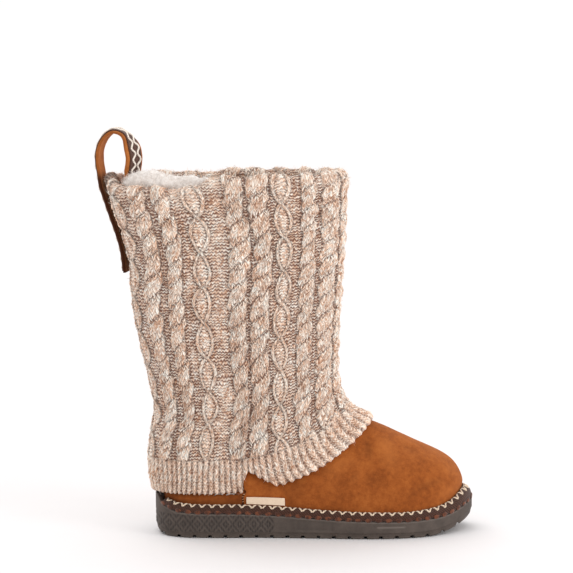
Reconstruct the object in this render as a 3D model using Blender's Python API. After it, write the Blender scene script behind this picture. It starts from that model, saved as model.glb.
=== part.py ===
"""Right foot of a calf-high suede boot under a cable-knit sleeve.

Frame: +X to the toe, -Y to the outer side, +Z up. The origin is on the floor under the heel seat.
Every curved piece is an offset of one form, so that neighbours keep an even clearance.
"""
import math
from typing import NamedTuple

import bmesh
import bpy
import numpy as np

MM = 0.001

# Driving dimensions, millimetres
SOLE_LENGTH = 252.0
HEEL_BACK_X = -45.0
TOE_TIP_X = HEEL_BACK_X + SOLE_LENGTH
SIDE_SEAM_X = 25.5
CLEARANCE = 0.3
SMOOTH_ANGLE = math.radians(35)

# Steps for slopes, as a share of the way round or of a ring
OUTLINE_STEP = 0.004
NORMAL_STEP_ROUND = 0.004
NORMAL_STEP_LEVEL = 0.04

# Foot and shaft wall
UPPER_WALL = 2.4
VAMP_LAP = 0.6
SEAM_HALF_WIDTH = 0.0015
FEATHER_INSET = 6.5
FEATHER_TOE_EXTRA = 2.0
FEATHER_TOE_ARC = 0.06
FEATHER_CLEARANCE = 0.6
UPPER_STATIONS = 42
STATION_CROWDING = 0.42

# Outsole
SOLE_STATIONS = 74
TREAD_RISE_START_X = 165.0
TREAD_RISE_PER_MM2 = 0.0066
HEEL_ROUND_START_X = -34.5
HEEL_ROUND_PER_MM2 = 0.035
LEDGE_INNER_INSET = 9.4
LEDGE_LOOK_AHEAD = 1.0
LUG_PITCH = 12.2
LUG_FIRST_X = -38.0
LUG_COUNT = 20
LUG_GROOVE_WIDTH = 2.4
LUG_GROOVE_DEPTH = 1.8
LUG_RIB_HALF_WIDTH = 9.0
LUG_RIB_AT_TOE = 5.0
LUG_RIB_FULL_SPAN = 60.0
LUG_OVERRUN = 10.0
LUG_CUT_BELOW = 2.0
GUARD_HALF_ARC = 0.034
GUARD_SLOPE_ARC = 0.014
GUARD_HEIGHT = 5.2
GUARD_INNER_INSET = 5.0
GUARD_FOOT_INSET = 5.4

# Insole
INSOLE_INSET = 9.5
INSOLE_THICKNESS = 5.5
INSOLE_ROUND = 1.2

# Braid on the welt
BRAID_HEEL_GAP = 0.040
BRAID_CLEARANCE = 0.5
BRAID_FOOT_CLEARANCE = 0.55

# Knit sleeve
KNIT_GROUND = 4.2
KNIT_RIDGE = 1.6
KNIT_HEM_THICKNESS = 4.6
KNIT_HEM_EDGE = 0.8
KNIT_HEM_EDGE_LEVEL = 0.25
KNIT_RIM_LEVEL = 0.15
KNIT_RIM_THINNER = 1.2
KNIT_LIP = 2.4
KNIT_LINING = -UPPER_WALL - CLEARANCE
KNIT_FOLDED = KNIT_LINING - KNIT_LIP
KNIT_CLEARANCE = 0.4
HEM_EASE = 0.5
HEM_EASE_RINGS = 4
NOTCH_HALF_SPAN = 70.0

# Pull strap
STRAP_WIDTH = 20.0
STRAP_THICKNESS = 2.2
STRAP_BRAID_WIDTH = 14.0
STRAP_BRAID_THICKNESS = 1.3
STRAP_STATION = 0.984
STRAP_LOW_LEVEL = 17.5
STRAP_LEVEL_STEP = 0.25
STRAP_CROSSING_LEVEL = 19.5
STRAP_LOOP_STATIONS = 40
STRAP_CLEARANCE = 0.6

# Side tag
TAG_BACK_X = 27.5
TAG_FRONT_X = 58.0
TAG_LOW_LEVEL = 1.06
TAG_MIDDLE_LEVEL = 2.0
TAG_HIGH_LEVEL = 2.7
TAG_THICKNESS = 0.9
TAG_COLUMNS = 6
TAG_EASE = 0.4


class OutlinePoint(NamedTuple):
    """A point of the sole's plan outline."""
    x: float
    y: float


# From the heel's back round the outer side to the toe tip, then back along the inner side
OUTER_SIDE = [
    OutlinePoint(-45.0, 0.0), OutlinePoint(-40.0, -20.0), OutlinePoint(-25.0, -33.0),
    OutlinePoint(0.0, -37.0), OutlinePoint(40.0, -38.0), OutlinePoint(85.0, -42.5),
    OutlinePoint(125.0, -46.5), OutlinePoint(155.0, -43.5), OutlinePoint(181.0, -32.0),
    OutlinePoint(200.0, -12.5), OutlinePoint(207.0, 8.0),
]
INNER_SIDE = [
    OutlinePoint(207.0, 8.0), OutlinePoint(202.0, 25.0), OutlinePoint(185.0, 40.0),
    OutlinePoint(160.0, 48.0), OutlinePoint(130.0, 48.0), OutlinePoint(90.0, 38.5),
    OutlinePoint(45.0, 32.5), OutlinePoint(0.0, 34.0), OutlinePoint(-25.0, 29.5),
    OutlinePoint(-40.0, 17.5), OutlinePoint(-45.0, 0.0),
]


class WeltPoint(NamedTuple):
    """Height of the sole's ledge, and the height of the braid above it, along the foot."""
    x: float
    ledge_z: float
    braid_rise: float


WELT_LINE = [
    WeltPoint(-45.0, 27.0, 6.3), WeltPoint(-38.0, 24.3, 6.3), WeltPoint(-30.0, 21.2, 6.4),
    WeltPoint(-18.0, 19.9, 6.5), WeltPoint(20.0, 19.3, 6.6), WeltPoint(55.0, 17.8, 6.6),
    WeltPoint(90.0, 15.3, 6.6), WeltPoint(125.0, 14.0, 6.6), WeltPoint(168.0, 14.0, 7.2),
    WeltPoint(181.0, 15.0, 8.2), WeltPoint(190.0, 17.0, 9.4), WeltPoint(198.0, 20.0, 12.0),
    WeltPoint(207.0, 24.0, 13.5),
]


class WallRing(NamedTuple):
    """A ring of the sole's side wall: its inset from the outline and its rise."""
    inset: float
    rise: float


# Rises above the tread: rounded edge, lower wall and the step up to the plain wall
TREAD_RINGS = [WallRing(3.2, 0.0), WallRing(1.3, 1.2), WallRing(0.6, 4.4), WallRing(0.0, 5.2)]
# Rises above the ledge, or above the guard round the heel's back
RIM_RINGS = [WallRing(0.0, -1.2), WallRing(0.5, 0.0), WallRing(GUARD_INNER_INSET, 0.0)]


class BraidCorner(NamedTuple):
    """A corner of the braid's section.

    across goes from 0 at the sole's outline to 1 at the upper, share from 0 on the ledge to 1 at
    the braid's top edge. inset and rise are added in millimetres.
    """
    across: float
    inset: float
    share: float
    rise: float


BRAID_SECTION = [
    BraidCorner(1, 0.0, 0.00, BRAID_FOOT_CLEARANCE), BraidCorner(0, 0.9, 0.00, BRAID_FOOT_CLEARANCE),
    BraidCorner(0, 0.2, 0.00, 1.7), BraidCorner(0, 1.9, 0.55, 0.6),
    BraidCorner(1, -1.2, 1.00, 0.1), BraidCorner(1, 0.0, 1.00, -CLEARANCE),
]


class NotchPoint(NamedTuple):
    """A corner of the notch in the sleeve's hem, seen from the side."""
    x: float
    z: float


NOTCH = [
    NotchPoint(24.6, 26.0), NotchPoint(60.5, 26.0), NotchPoint(50.5, 43.0),
    NotchPoint(34.0, 54.0), NotchPoint(30.0, 54.0), NotchPoint(24.6, 44.0),
]


class Ring(NamedTuple):
    """One ring of the form, from its back point to its front point.

    egg goes from 0, the footprint's outline, to 1, the shaft's flattened tube. tilt keeps the
    ring low at the back and lifts it towards the front. follow is how far it keeps to the welt.
    """
    back_x: float
    back_z: float
    front_x: float
    front_z: float
    half_width: float
    egg: float
    tilt: float
    follow: float


FOOT_HALF_WIDTH = 41.5
FEATHER_BACK_X = HEEL_BACK_X + FEATHER_INSET
FEATHER_FRONT_X = TOE_TIP_X - FEATHER_INSET - FEATHER_TOE_EXTRA

# Rings 0 and 1 are the feather edge and the braid's top edge. Their heights follow the welt line
RINGS = [
    Ring(FEATHER_BACK_X, 24.8, FEATHER_FRONT_X, 20.5, FOOT_HALF_WIDTH, 0.00, 1.0, 1.00),
    Ring(FEATHER_BACK_X, 30.8, FEATHER_FRONT_X, 32.3, FOOT_HALF_WIDTH, 0.00, 1.0, 1.00),
    Ring(-38.8, 31.6, 198.8, 38.4, 42.3, 0.00, 1.0, 0.80),
    Ring(-39.3, 32.4, 196.3, 45.6, 42.6, 0.02, 1.3, 0.60),
    Ring(-39.9, 33.0, 190.8, 53.7, 42.0, 0.07, 1.7, 0.40),
    Ring(-40.5, 33.6, 182.1, 60.3, 41.0, 0.14, 2.1, 0.25),
    Ring(-41.1, 34.2, 168.5, 67.1, 39.6, 0.24, 2.5, 0.15),
    Ring(-41.6, 34.7, 152.9, 74.4, 38.0, 0.36, 2.8, 0.08),
    Ring(-42.1, 35.2, 137.9, 81.4, 36.4, 0.48, 3.1, 0.00),
    Ring(-42.6, 35.8, 124.5, 87.0, 35.2, 0.60, 3.4, 0.00),
    Ring(-43.7, 42.7, 113.0, 91.9, 34.6, 0.72, 3.4, 0.00),
    Ring(-44.8, 52.2, 104.2, 98.7, 34.2, 0.83, 3.0, 0.00),
    Ring(-45.1, 65.2, 97.9, 107.9, 34.0, 0.91, 2.4, 0.00),
    Ring(-43.2, 81.7, 94.9, 119.3, 34.0, 0.96, 1.8, 0.00),
    Ring(-40.3, 99.7, 94.0, 132.8, 34.2, 1.00, 1.4, 0.00),
    Ring(-44.5, 123.2, 94.6, 150.8, 34.4, 1.00, 1.2, 0.00),
    Ring(-51.7, 154.8, 95.9, 174.8, 34.7, 1.00, 1.1, 0.00),
    Ring(-57.3, 188.8, 97.9, 202.7, 35.0, 1.00, 1.0, 0.00),
    Ring(-60.4, 225.9, 99.9, 234.7, 35.3, 1.00, 1.0, 0.00),
    Ring(-71.9, 262.9, 101.9, 266.7, 35.6, 1.00, 1.0, 0.00),
    Ring(-76.6, 277.5, 102.8, 279.7, 35.8, 1.00, 1.0, 0.00),
    Ring(-78.6, 284.0, 103.3, 286.2, 35.9, 1.00, 1.0, 0.00),
]
HEM_RING = 9
FOLD_RING = 19
COLLAR_RING = 20
RIM_RING = 21
SHAFT_SQUARENESS = 2.5
SHAFT_ASPECT = 2.3


class KnitColumn(NamedTuple):
    """One column of the sleeve, counted away from the side seam."""
    width: float
    ridge_start: float
    ridge_end: float


# Front panel: two ropes, an oval cable, two ropes, and half of the oval at the front
FRONT_COLUMNS = [
    KnitColumn(21.5, 0.12, 0.92), KnitColumn(15.5, 0.14, 0.86), KnitColumn(22.0, 0.14, 0.84),
    KnitColumn(17.0, 0.14, 0.88), KnitColumn(16.5, 0.14, 0.88), KnitColumn(10.3, 0.20, 1.00),
]
# Back panel: an oval cable beside a wide gutter, two ropes, an oval cable and a rope
BACK_COLUMNS = [
    KnitColumn(27.5, 0.34, 0.92), KnitColumn(19.5, 0.16, 0.86), KnitColumn(19.5, 0.16, 0.86),
    KnitColumn(21.0, 0.14, 0.88), KnitColumn(15.2, 0.14, 0.86),
]


class RimRing(NamedTuple):
    """A ring of the sleeve's folded top: its level, offset from the form and extra height."""
    level: float
    offset: float
    rise: float


# Over the top, down the fold inside the collar, and back up against the upper's lining
FOLDED_RIM = [
    RimRing(RIM_RING, 1.0, 0.4), RimRing(RIM_RING - 0.3, KNIT_FOLDED + 1.0, 0.0),
    RimRing(COLLAR_RING, KNIT_FOLDED, 0.0), RimRing(FOLD_RING, KNIT_FOLDED, 0.0),
    RimRing(FOLD_RING, KNIT_LINING, 0.0), RimRing(COLLAR_RING, KNIT_LINING, KNIT_CLEARANCE),
]


class StrapPoint(NamedTuple):
    """A point of the free loop: inwards from the strap's outside leg, and height."""
    inwards: float
    z: float


# The strap's own inner face, from the top of the outside leg, over the loop and down inside
LOOP_POINTS = [
    StrapPoint(-1.4, 286.0), StrapPoint(-2.6, 294.0), StrapPoint(-2.2, 303.0),
    StrapPoint(1.6, 311.5), StrapPoint(8.2, 316.6), StrapPoint(14.8, 315.2),
    StrapPoint(20.2, 308.0), StrapPoint(22.9, 298.5), StrapPoint(22.2, 290.0),
    StrapPoint(20.2, 282.0), StrapPoint(18.8, 273.0),
]
INSIDE_LEG_LEVELS = (19.0, 18.75, 18.45)
INSIDE_LEG_OFFSET = 5.2


def smooth_curve(stations, values, at):
    """Cubic through table values, with the slopes of neighbouring rows."""
    stations = np.asarray(stations, dtype=float)
    values = np.asarray(values, dtype=float)
    at = np.clip(np.asarray(at, dtype=float), stations[0], stations[-1])
    slopes = np.gradient(values, stations)
    row = np.clip(np.searchsorted(stations, at, side="right") - 1, 0, len(stations) - 2)
    span = stations[row + 1] - stations[row]
    t = (at - stations[row]) / span
    rise = values[row + 1] - values[row]
    start, end = slopes[row] * span, slopes[row + 1] * span
    return (values[row] + start * t + (3 * rise - 2 * start - end) * t ** 2
            + (start + end - 2 * rise) * t ** 3)


def dense_side(points):
    """Smooth line through one side of the outline, square to X at both ends."""
    x = np.array([p.x for p in points])
    y = np.array([p.y for p in points])
    mirrored_x = np.concatenate([[x[1]], x, [x[-2]]])
    mirrored_y = np.concatenate([[2 * y[0] - y[1]], y, [2 * y[-1] - y[-2]]])
    chord = np.sqrt(np.hypot(np.diff(mirrored_x), np.diff(mirrored_y)))
    knots = np.concatenate([[0], np.cumsum(chord)])
    fine = np.linspace(knots[1], knots[-2], 400)
    fine_x = smooth_curve(knots, mirrored_x, fine)
    fine_y = smooth_curve(knots, mirrored_y, fine)
    length = np.concatenate([[0], np.cumsum(np.hypot(np.diff(fine_x), np.diff(fine_y)))])
    return fine_x, fine_y, length / length[-1]


OUTER_LINE = dense_side(OUTER_SIDE)
INNER_LINE = dense_side(INNER_SIDE)


def outline(arc, inset=0.0):
    """Outline at an arc fraction: 0 at the heel's back, a half at the toe tip, inner side last."""
    arc = np.mod(np.asarray(arc, dtype=float), 1.0)

    def raw(fraction):
        fraction = np.mod(fraction, 1.0)
        outer = fraction <= 0.5
        position = np.where(outer, 2 * fraction, 2 * fraction - 1)
        x = np.where(outer, np.interp(position, OUTER_LINE[2], OUTER_LINE[0]),
                     np.interp(position, INNER_LINE[2], INNER_LINE[0]))
        y = np.where(outer, np.interp(position, OUTER_LINE[2], OUTER_LINE[1]),
                     np.interp(position, INNER_LINE[2], INNER_LINE[1]))
        return x, y

    x, y = raw(arc)
    before_x, before_y = raw(arc - OUTLINE_STEP)
    after_x, after_y = raw(arc + OUTLINE_STEP)
    run_x, run_y = after_x - before_x, after_y - before_y
    size = np.hypot(run_x, run_y)
    return x - inset * run_y / size, y + inset * run_x / size


def seam_arc():
    """Arc fraction of the side seam on the outer side of the outline."""
    return float(np.interp(SIDE_SEAM_X, OUTER_LINE[0], OUTER_LINE[2])) / 2


ARC_SHIFT = 0.25 - seam_arc()


def feather_inset(arc, inset=FEATHER_INSET):
    """The feather line's inset from the outline, larger at the toe, where the braid stands up."""
    away = (np.mod(arc, 1.0) - 0.5) / FEATHER_TOE_ARC
    return inset + FEATHER_TOE_EXTRA * np.exp(-away ** 2)


def foot_arc(u):
    """Arc fraction of a station. The seams, at a quarter and three quarters, lie behind the arch."""
    return u - ARC_SHIFT * np.sin(2 * np.pi * u)


def tube_table():
    """Unit flattened tube, even along its own length, starting at the back."""
    angle = np.linspace(0, 2 * np.pi, 1441)
    power = 2 / SHAFT_SQUARENESS
    x = -np.sign(np.cos(angle)) * np.abs(np.cos(angle)) ** power
    y = -np.sign(np.sin(angle)) * np.abs(np.sin(angle)) ** power
    length = np.concatenate([[0], np.cumsum(np.hypot(np.diff(x) * SHAFT_ASPECT, np.diff(y)))])
    return length / length[-1], x, y


TUBE = tube_table()


def welt_height(x):
    """Height of the ledge at a place along the foot."""
    return smooth_curve([p.x for p in WELT_LINE], [p.ledge_z for p in WELT_LINE], x)


def braid_height(x):
    """Height of the braid above the ledge."""
    return smooth_curve([p.x for p in WELT_LINE], [p.braid_rise for p in WELT_LINE], x)


def ring_at(level):
    """Every column of the ring table, read at a level."""
    rows = np.arange(len(RINGS))
    return {name: smooth_curve(rows, [getattr(r, name) for r in RINGS], level)
            for name in Ring._fields}


def ring_height(ring, x, along):
    """Height of a ring at a place along it."""
    lift = np.clip(along, 0, 1) ** ring["tilt"]
    chord_start, chord_end = welt_height(ring["back_x"]), welt_height(ring["front_x"])
    sag = welt_height(x) - (chord_start + (chord_end - chord_start) * along)
    return ring["back_z"] + (ring["front_z"] - ring["back_z"]) * lift + ring["follow"] * sag


def form_point(u, level):
    """Skin of the form at station u, 0 to 1, and ring level."""
    u, level = np.broadcast_arrays(np.asarray(u, dtype=float), np.asarray(level, dtype=float))
    ring = ring_at(level)
    arc = foot_arc(u)
    foot_x, foot_y = outline(arc, feather_inset(arc))
    along_foot = (foot_x - FEATHER_BACK_X) / (FEATHER_FRONT_X - FEATHER_BACK_X)
    tube_x = np.interp(np.mod(u, 1.0), TUBE[0], TUBE[1])
    tube_y = np.interp(np.mod(u, 1.0), TUBE[0], TUBE[2])
    along_tube = (tube_x + 1) / 2
    egg = np.clip(ring["egg"], 0, 1)
    along = (1 - egg) * along_foot + egg * along_tube
    y = ring["half_width"] * ((1 - egg) * foot_y / FOOT_HALF_WIDTH + egg * tube_y)
    x = ring["back_x"] + (ring["front_x"] - ring["back_x"]) * along
    ledge = np.maximum(welt_height(x), welt_height(x + LEDGE_LOOK_AHEAD))
    on_welt = ledge + FEATHER_CLEARANCE + np.clip(level, 0, 1) * braid_height(x)
    step = on_welt - ring_height(ring_at(np.ones_like(level)), x, along)
    above = ring_height(ring, x, along) + np.clip(2 - level, 0, 1) * step
    return np.stack([x, y, np.where(level <= 1, on_welt, above)], axis=-1)


def form_normal(u, level):
    """Outward normal of the form."""
    low = np.clip(level - NORMAL_STEP_LEVEL, 0, RIM_RING)
    high = np.clip(level + NORMAL_STEP_LEVEL, 0, RIM_RING)
    around = form_point(u + NORMAL_STEP_ROUND, level) - form_point(u - NORMAL_STEP_ROUND, level)
    upwards = form_point(u, high) - form_point(u, low)
    normal = np.cross(around, upwards)
    return normal / np.linalg.norm(normal, axis=-1, keepdims=True)


def skin(u, level, offset):
    """Point at an offset from the form, square to it."""
    u, level, offset = np.broadcast_arrays(np.asarray(u, dtype=float),
                                           np.asarray(level, dtype=float),
                                           np.asarray(offset, dtype=float))
    return form_point(u, level) + offset[..., None] * form_normal(u, level)


def vamp_lap(u):
    """The front half of the upper laps over the heel half at the side seams."""
    return np.where(np.abs(np.mod(u, 1.0) - 0.5) < 0.25, VAMP_LAP, 0.0)


def sleeve_lap(u):
    """The same lap as the sleeve's inner face clears it, a little wider than the step."""
    return np.where(np.abs(np.mod(u, 1.0) - 0.5) < 0.25 + 2 * SEAM_HALF_WIDTH, VAMP_LAP, 0.0)


def upper_stations():
    """Stations of the upper, closer at the front, with a pair at each side seam."""
    even = np.arange(UPPER_STATIONS) / UPPER_STATIONS
    crowded = even + STATION_CROWDING * np.sin(2 * np.pi * even) / (2 * np.pi)
    seams = np.array([0.25, 0.75])
    nearest = np.min(np.abs(crowded[:, None] - seams[None, :]), axis=1)
    kept = crowded[nearest > 0.008]
    pairs = np.concatenate([seams - SEAM_HALF_WIDTH, seams + SEAM_HALF_WIDTH])
    return np.sort(np.concatenate([kept, pairs]))


def knit_stations():
    """Stations and relief of the sleeve: gutter, ridge start, crest and ridge end of each column."""
    def panel(columns, direction):
        total = sum(c.width for c in columns)
        stations, relief, start = [], [], 0.0
        for column in columns:
            ends = (0.0, column.ridge_start, (column.ridge_start + column.ridge_end) / 2,
                    column.ridge_end)
            for fraction, height in zip(ends, (0.0, 0.8, 1.0, 0.8)):
                stations.append(0.25 + direction * 0.25 * (start + fraction * column.width) / total)
                relief.append(height)
            start += column.width
        return stations, relief

    front_u, front_relief = panel(FRONT_COLUMNS, 1)
    back_u, back_relief = panel(BACK_COLUMNS, -1)
    outer = {}
    for u, height in zip(front_u + back_u, front_relief + back_relief):
        outer[round(u, 6)] = height
        outer[round((1 - u) % 1, 6)] = height
    outer[0.5] = 1.0
    outer[0.0] = 0.0
    stations = np.array(sorted(outer))
    return stations, np.array([outer[u] for u in stations])


def material(name, colour, roughness, metallic=0.0):
    """Plain material of a sub-part."""
    made = bpy.data.materials.new(name)
    made.use_nodes = True
    shader = made.node_tree.nodes["Principled BSDF"]
    shader.inputs["Base Color"].default_value = (*colour, 1.0)
    shader.inputs["Roughness"].default_value = roughness
    shader.inputs["Metallic"].default_value = metallic
    return made


def add_object(name, bm, finish):
    """Turn a bmesh in millimetres into an object in metres."""
    bmesh.ops.scale(bm, vec=(MM, MM, MM), verts=bm.verts)
    bmesh.ops.triangulate(bm, faces=bm.faces, quad_method="FIXED", ngon_method="BEAUTY")
    mesh = bpy.data.meshes.new(name)
    bm.to_mesh(mesh)
    bm.free()
    mesh.shade_smooth()
    mesh.set_sharp_from_angle(angle=SMOOTH_ANGLE)
    made = bpy.data.objects.new(name, mesh)
    made.data.materials.append(finish)
    bpy.context.collection.objects.link(made)
    return made


def add_ring(bm, points):
    """One closed ring of vertices."""
    return [bm.verts.new(p) for p in points]


def bridge(bm, low, high):
    """Faces between two rings of equal count, facing out where the ring runs anticlockwise."""
    count = len(low)
    for i in range(count):
        j = (i + 1) % count
        bm.faces.new((low[i], low[j], high[j], high[i]))


def zip_rings(bm, low, low_at, high, high_at):
    """Triangles between two rings of different counts, matched by station."""
    i = j = 0
    n, m = len(low), len(high)
    while i < n or j < m:
        next_low = low_at[i + 1] if i + 1 < n else 1.0 + low_at[0]
        next_high = high_at[j + 1] if j + 1 < m else 1.0 + high_at[0]
        if j >= m or (i < n and next_low <= next_high):
            bm.faces.new((low[i % n], low[(i + 1) % n], high[j % m]))
            i += 1
        else:
            bm.faces.new((low[i % n], high[(j + 1) % m], high[j % m]))
            j += 1


def ladder_cap(bm, ring, facing_up):
    """Close a foot-shaped ring with strips that run straight across it."""
    count = len(ring)
    half = count // 2
    for i in range(half):
        face = [ring[i], ring[i + 1], ring[count - i - 1], ring[(count - i) % count]]
        face = list(dict.fromkeys(face))
        bm.faces.new(face if facing_up else face[::-1])


def tread_height(x):
    """Underside of the sole: flat, rising at the toe and rounded at the heel."""
    toe = TREAD_RISE_PER_MM2 * np.maximum(x - TREAD_RISE_START_X, 0) ** 2
    heel = HEEL_ROUND_PER_MM2 * np.maximum(HEEL_ROUND_START_X - x, 0) ** 2
    return toe + heel


def guard_height(arc):
    """Extra height of the sole's rim round the back of the heel."""
    away = np.abs(np.mod(arc + 0.5, 1.0) - 0.5)
    return GUARD_HEIGHT * np.clip((GUARD_HALF_ARC - away) / GUARD_SLOPE_ARC, 0, 1)


def build_outsole():
    """Moulded sole: rounded tread edge, a step in the side, a ledge, and a guard at the heel."""
    arc = np.arange(SOLE_STATIONS) / SOLE_STATIONS
    bm = bmesh.new()

    def ring(inset, height):
        x, y = outline(arc, inset)
        return add_ring(bm, np.stack([x, y, height(x)], axis=-1))

    guard = guard_height(arc)
    rings = [ring(row.inset, lambda x, rise=row.rise: tread_height(x) + rise)
             for row in TREAD_RINGS]
    rings += [ring(row.inset, lambda x, rise=row.rise: welt_height(x) + guard + rise)
              for row in RIM_RINGS]
    rings.append(ring(GUARD_FOOT_INSET, welt_height))
    rings.append(ring(feather_inset(arc, LEDGE_INNER_INSET), welt_height))
    for low, high in zip(rings, rings[1:]):
        bridge(bm, low, high)
    ladder_cap(bm, rings[0], facing_up=False)
    ladder_cap(bm, rings[-1], facing_up=True)
    sole = add_object("outsole", bm, material("sole_foam", (0.085, 0.075, 0.068), 0.62))
    cut(sole, lug_cutter())
    return sole


def lug_cutter():
    """Cross grooves from both edges of the tread. A plain rib is left along the middle."""
    bm = bmesh.new()
    for number in range(LUG_COUNT):
        x = LUG_FIRST_X + number * LUG_PITCH
        outer_y = float(np.interp(x, OUTER_LINE[0], OUTER_LINE[1]))
        inner_y = float(np.interp(-x, -INNER_LINE[0], INNER_LINE[1]))
        middle = (outer_y + inner_y) / 2
        narrow = min(inner_y - outer_y, LUG_RIB_FULL_SPAN) / LUG_RIB_FULL_SPAN
        rib = LUG_RIB_AT_TOE + (LUG_RIB_HALF_WIDTH - LUG_RIB_AT_TOE) * narrow
        top = float(tread_height(x)) + LUG_GROOVE_DEPTH
        for near, far in ((outer_y - LUG_OVERRUN, middle - rib),
                          (middle + rib, inner_y + LUG_OVERRUN)):
            size = (LUG_GROOVE_WIDTH, far - near, top + LUG_CUT_BELOW)
            centre = (x, (near + far) / 2, (top - LUG_CUT_BELOW) / 2)
            box = bmesh.ops.create_cube(bm, size=1.0)["verts"]
            bmesh.ops.scale(bm, vec=size, verts=box)
            bmesh.ops.translate(bm, vec=centre, verts=box)
    return add_cutter("lug_cutter", bm)


def add_cutter(name, bm):
    """A guide that only cuts."""
    tool = add_object(name, bm, material(name, (0.5, 0.5, 0.5), 0.5))
    tool.hide_render = True
    tool.display_type = "WIRE"
    return tool


def cut(target, tool):
    """Take the tool's shape out of the target."""
    modifier = target.modifiers.new("cut", "BOOLEAN")
    modifier.operation = "DIFFERENCE"
    modifier.solver = "EXACT"
    modifier.object = tool


def build_insole():
    """Footbed on the sole's ledge, inside the upper."""
    u = upper_stations()
    arc = foot_arc(u)
    x, y = outline(arc, feather_inset(arc, INSOLE_INSET))
    low = welt_height(x) + CLEARANCE
    bm = bmesh.new()
    bottom = add_ring(bm, np.stack([x, y, low], axis=-1))
    shoulder = add_ring(bm, np.stack([x, y, low + INSOLE_THICKNESS - INSOLE_ROUND], axis=-1))
    x_top, y_top = outline(arc, feather_inset(arc, INSOLE_INSET + INSOLE_ROUND))
    top = add_ring(bm, np.stack([x_top, y_top, welt_height(x_top) + INSOLE_THICKNESS], axis=-1))
    bridge(bm, bottom, shoulder)
    bridge(bm, shoulder, top)
    ladder_cap(bm, bottom, facing_up=False)
    ladder_cap(bm, top, facing_up=True)
    return add_object("insole", bm, material("pile_footbed", (0.80, 0.76, 0.72), 0.95))


def build_upper():
    """Suede foot and soft shaft as one wall, open at the collar and underneath."""
    u = upper_stations()
    levels = np.arange(COLLAR_RING + 1)
    bm = bmesh.new()
    outside = [add_ring(bm, skin(u, level, vamp_lap(u))) for level in levels]
    inside = [add_ring(bm, skin(u, level, -UPPER_WALL)) for level in levels]
    for low, high in zip(outside, outside[1:]):
        bridge(bm, low, high)
    for low, high in zip(inside, inside[1:]):
        bridge(bm, low[::-1], high[::-1])
    bridge(bm, inside[0], outside[0])
    bridge(bm, outside[-1], inside[-1])
    return add_object("upper", bm, material("suede", (0.42, 0.16, 0.045), 0.88))


def build_knit_sleeve():
    """Knitted tube over the shaft, folded over the collar, with a notch at each side seam."""
    inner_u = upper_stations()
    outer_u, relief = knit_stations()
    bm = bmesh.new()

    def outer_ring(level, thickness):
        return add_ring(bm, skin(outer_u, level, KNIT_CLEARANCE + sleeve_lap(outer_u) + thickness))

    def inner_ring(level, offset, rise=0.0):
        points = skin(inner_u, level, offset)
        points[:, 2] += rise
        return add_ring(bm, points)

    ridges = KNIT_GROUND + KNIT_RIDGE * relief
    outside = [outer_ring(HEM_RING, KNIT_HEM_THICKNESS - KNIT_HEM_EDGE)]
    outside.append(outer_ring(HEM_RING + KNIT_HEM_EDGE_LEVEL, KNIT_HEM_THICKNESS))
    outside += [outer_ring(level, KNIT_HEM_THICKNESS if level == HEM_RING + 1 else ridges)
                for level in range(HEM_RING + 1, RIM_RING)]
    outside.append(outer_ring(RIM_RING - KNIT_RIM_LEVEL, KNIT_GROUND - KNIT_RIM_THINNER))
    on_upper = KNIT_CLEARANCE + sleeve_lap(inner_u)
    rim = [inner_ring(row.level, row.offset, row.rise) for row in FOLDED_RIM]
    rim.append(inner_ring(COLLAR_RING, on_upper, KNIT_CLEARANCE))
    back = [inner_ring(level, on_upper + HEM_EASE
                       * max(HEM_RING + HEM_EASE_RINGS - level, 0) / HEM_EASE_RINGS)
            for level in range(COLLAR_RING, HEM_RING - 1, -1)]
    for low, high in zip(outside, outside[1:]):
        bridge(bm, low, high)
    zip_rings(bm, outside[-1], outer_u, rim[0], inner_u)
    chain = rim + back
    for low, high in zip(chain, chain[1:]):
        bridge(bm, low, high)
    zip_rings(bm, back[-1], inner_u, outside[0], outer_u)
    sleeve = add_object("knit_sleeve", bm, material("marled_yarn", (0.60, 0.47, 0.38), 0.95))
    cut(sleeve, notch_cutter())
    return sleeve


def notch_cutter():
    """Wedge through both side seams of the hem."""
    bm = bmesh.new()
    face = bm.faces.new([bm.verts.new((p.x, -NOTCH_HALF_SPAN, p.z)) for p in NOTCH])
    moved = bmesh.ops.extrude_face_region(bm, geom=[face])["geom"]
    verts = [item for item in moved if isinstance(item, bmesh.types.BMVert)]
    bmesh.ops.translate(bm, vec=(0, 2 * NOTCH_HALF_SPAN, 0), verts=verts)
    bmesh.ops.recalc_face_normals(bm, faces=bm.faces)
    return add_cutter("notch_cutter", bm)


def build_welt_braid():
    """Braid in the corner between ledge and upper, from one side of the heel guard to the other."""
    arc = np.arange(SOLE_STATIONS) / SOLE_STATIONS
    arc = arc[(arc > BRAID_HEEL_GAP) & (arc < 1 - BRAID_HEEL_GAP)]
    in_front = np.abs(arc - 0.5) < 0.5 - seam_arc() + 1 / SOLE_STATIONS
    inner = feather_inset(arc) - BRAID_CLEARANCE - np.where(in_front, VAMP_LAP, 0.0)
    bm = bmesh.new()
    rails = []
    for corner in BRAID_SECTION:
        x, y = outline(arc, corner.across * inner + corner.inset)
        z = welt_height(x) + corner.share * braid_height(x) + corner.rise
        rails.append([bm.verts.new(p) for p in np.stack([x, y, z], axis=-1)])
    corners = len(BRAID_SECTION)
    for i in range(len(arc) - 1):
        for k in range(corners):
            n = (k + 1) % corners
            bm.faces.new((rails[k][i], rails[n][i], rails[n][i + 1], rails[k][i + 1]))
    bm.faces.new([rail[0] for rail in rails][::-1])
    bm.faces.new([rail[-1] for rail in rails])
    bmesh.ops.recalc_face_normals(bm, faces=bm.faces)
    return add_object("welt_braid", bm, material("braid", (0.10, 0.045, 0.025), 0.85))


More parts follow.
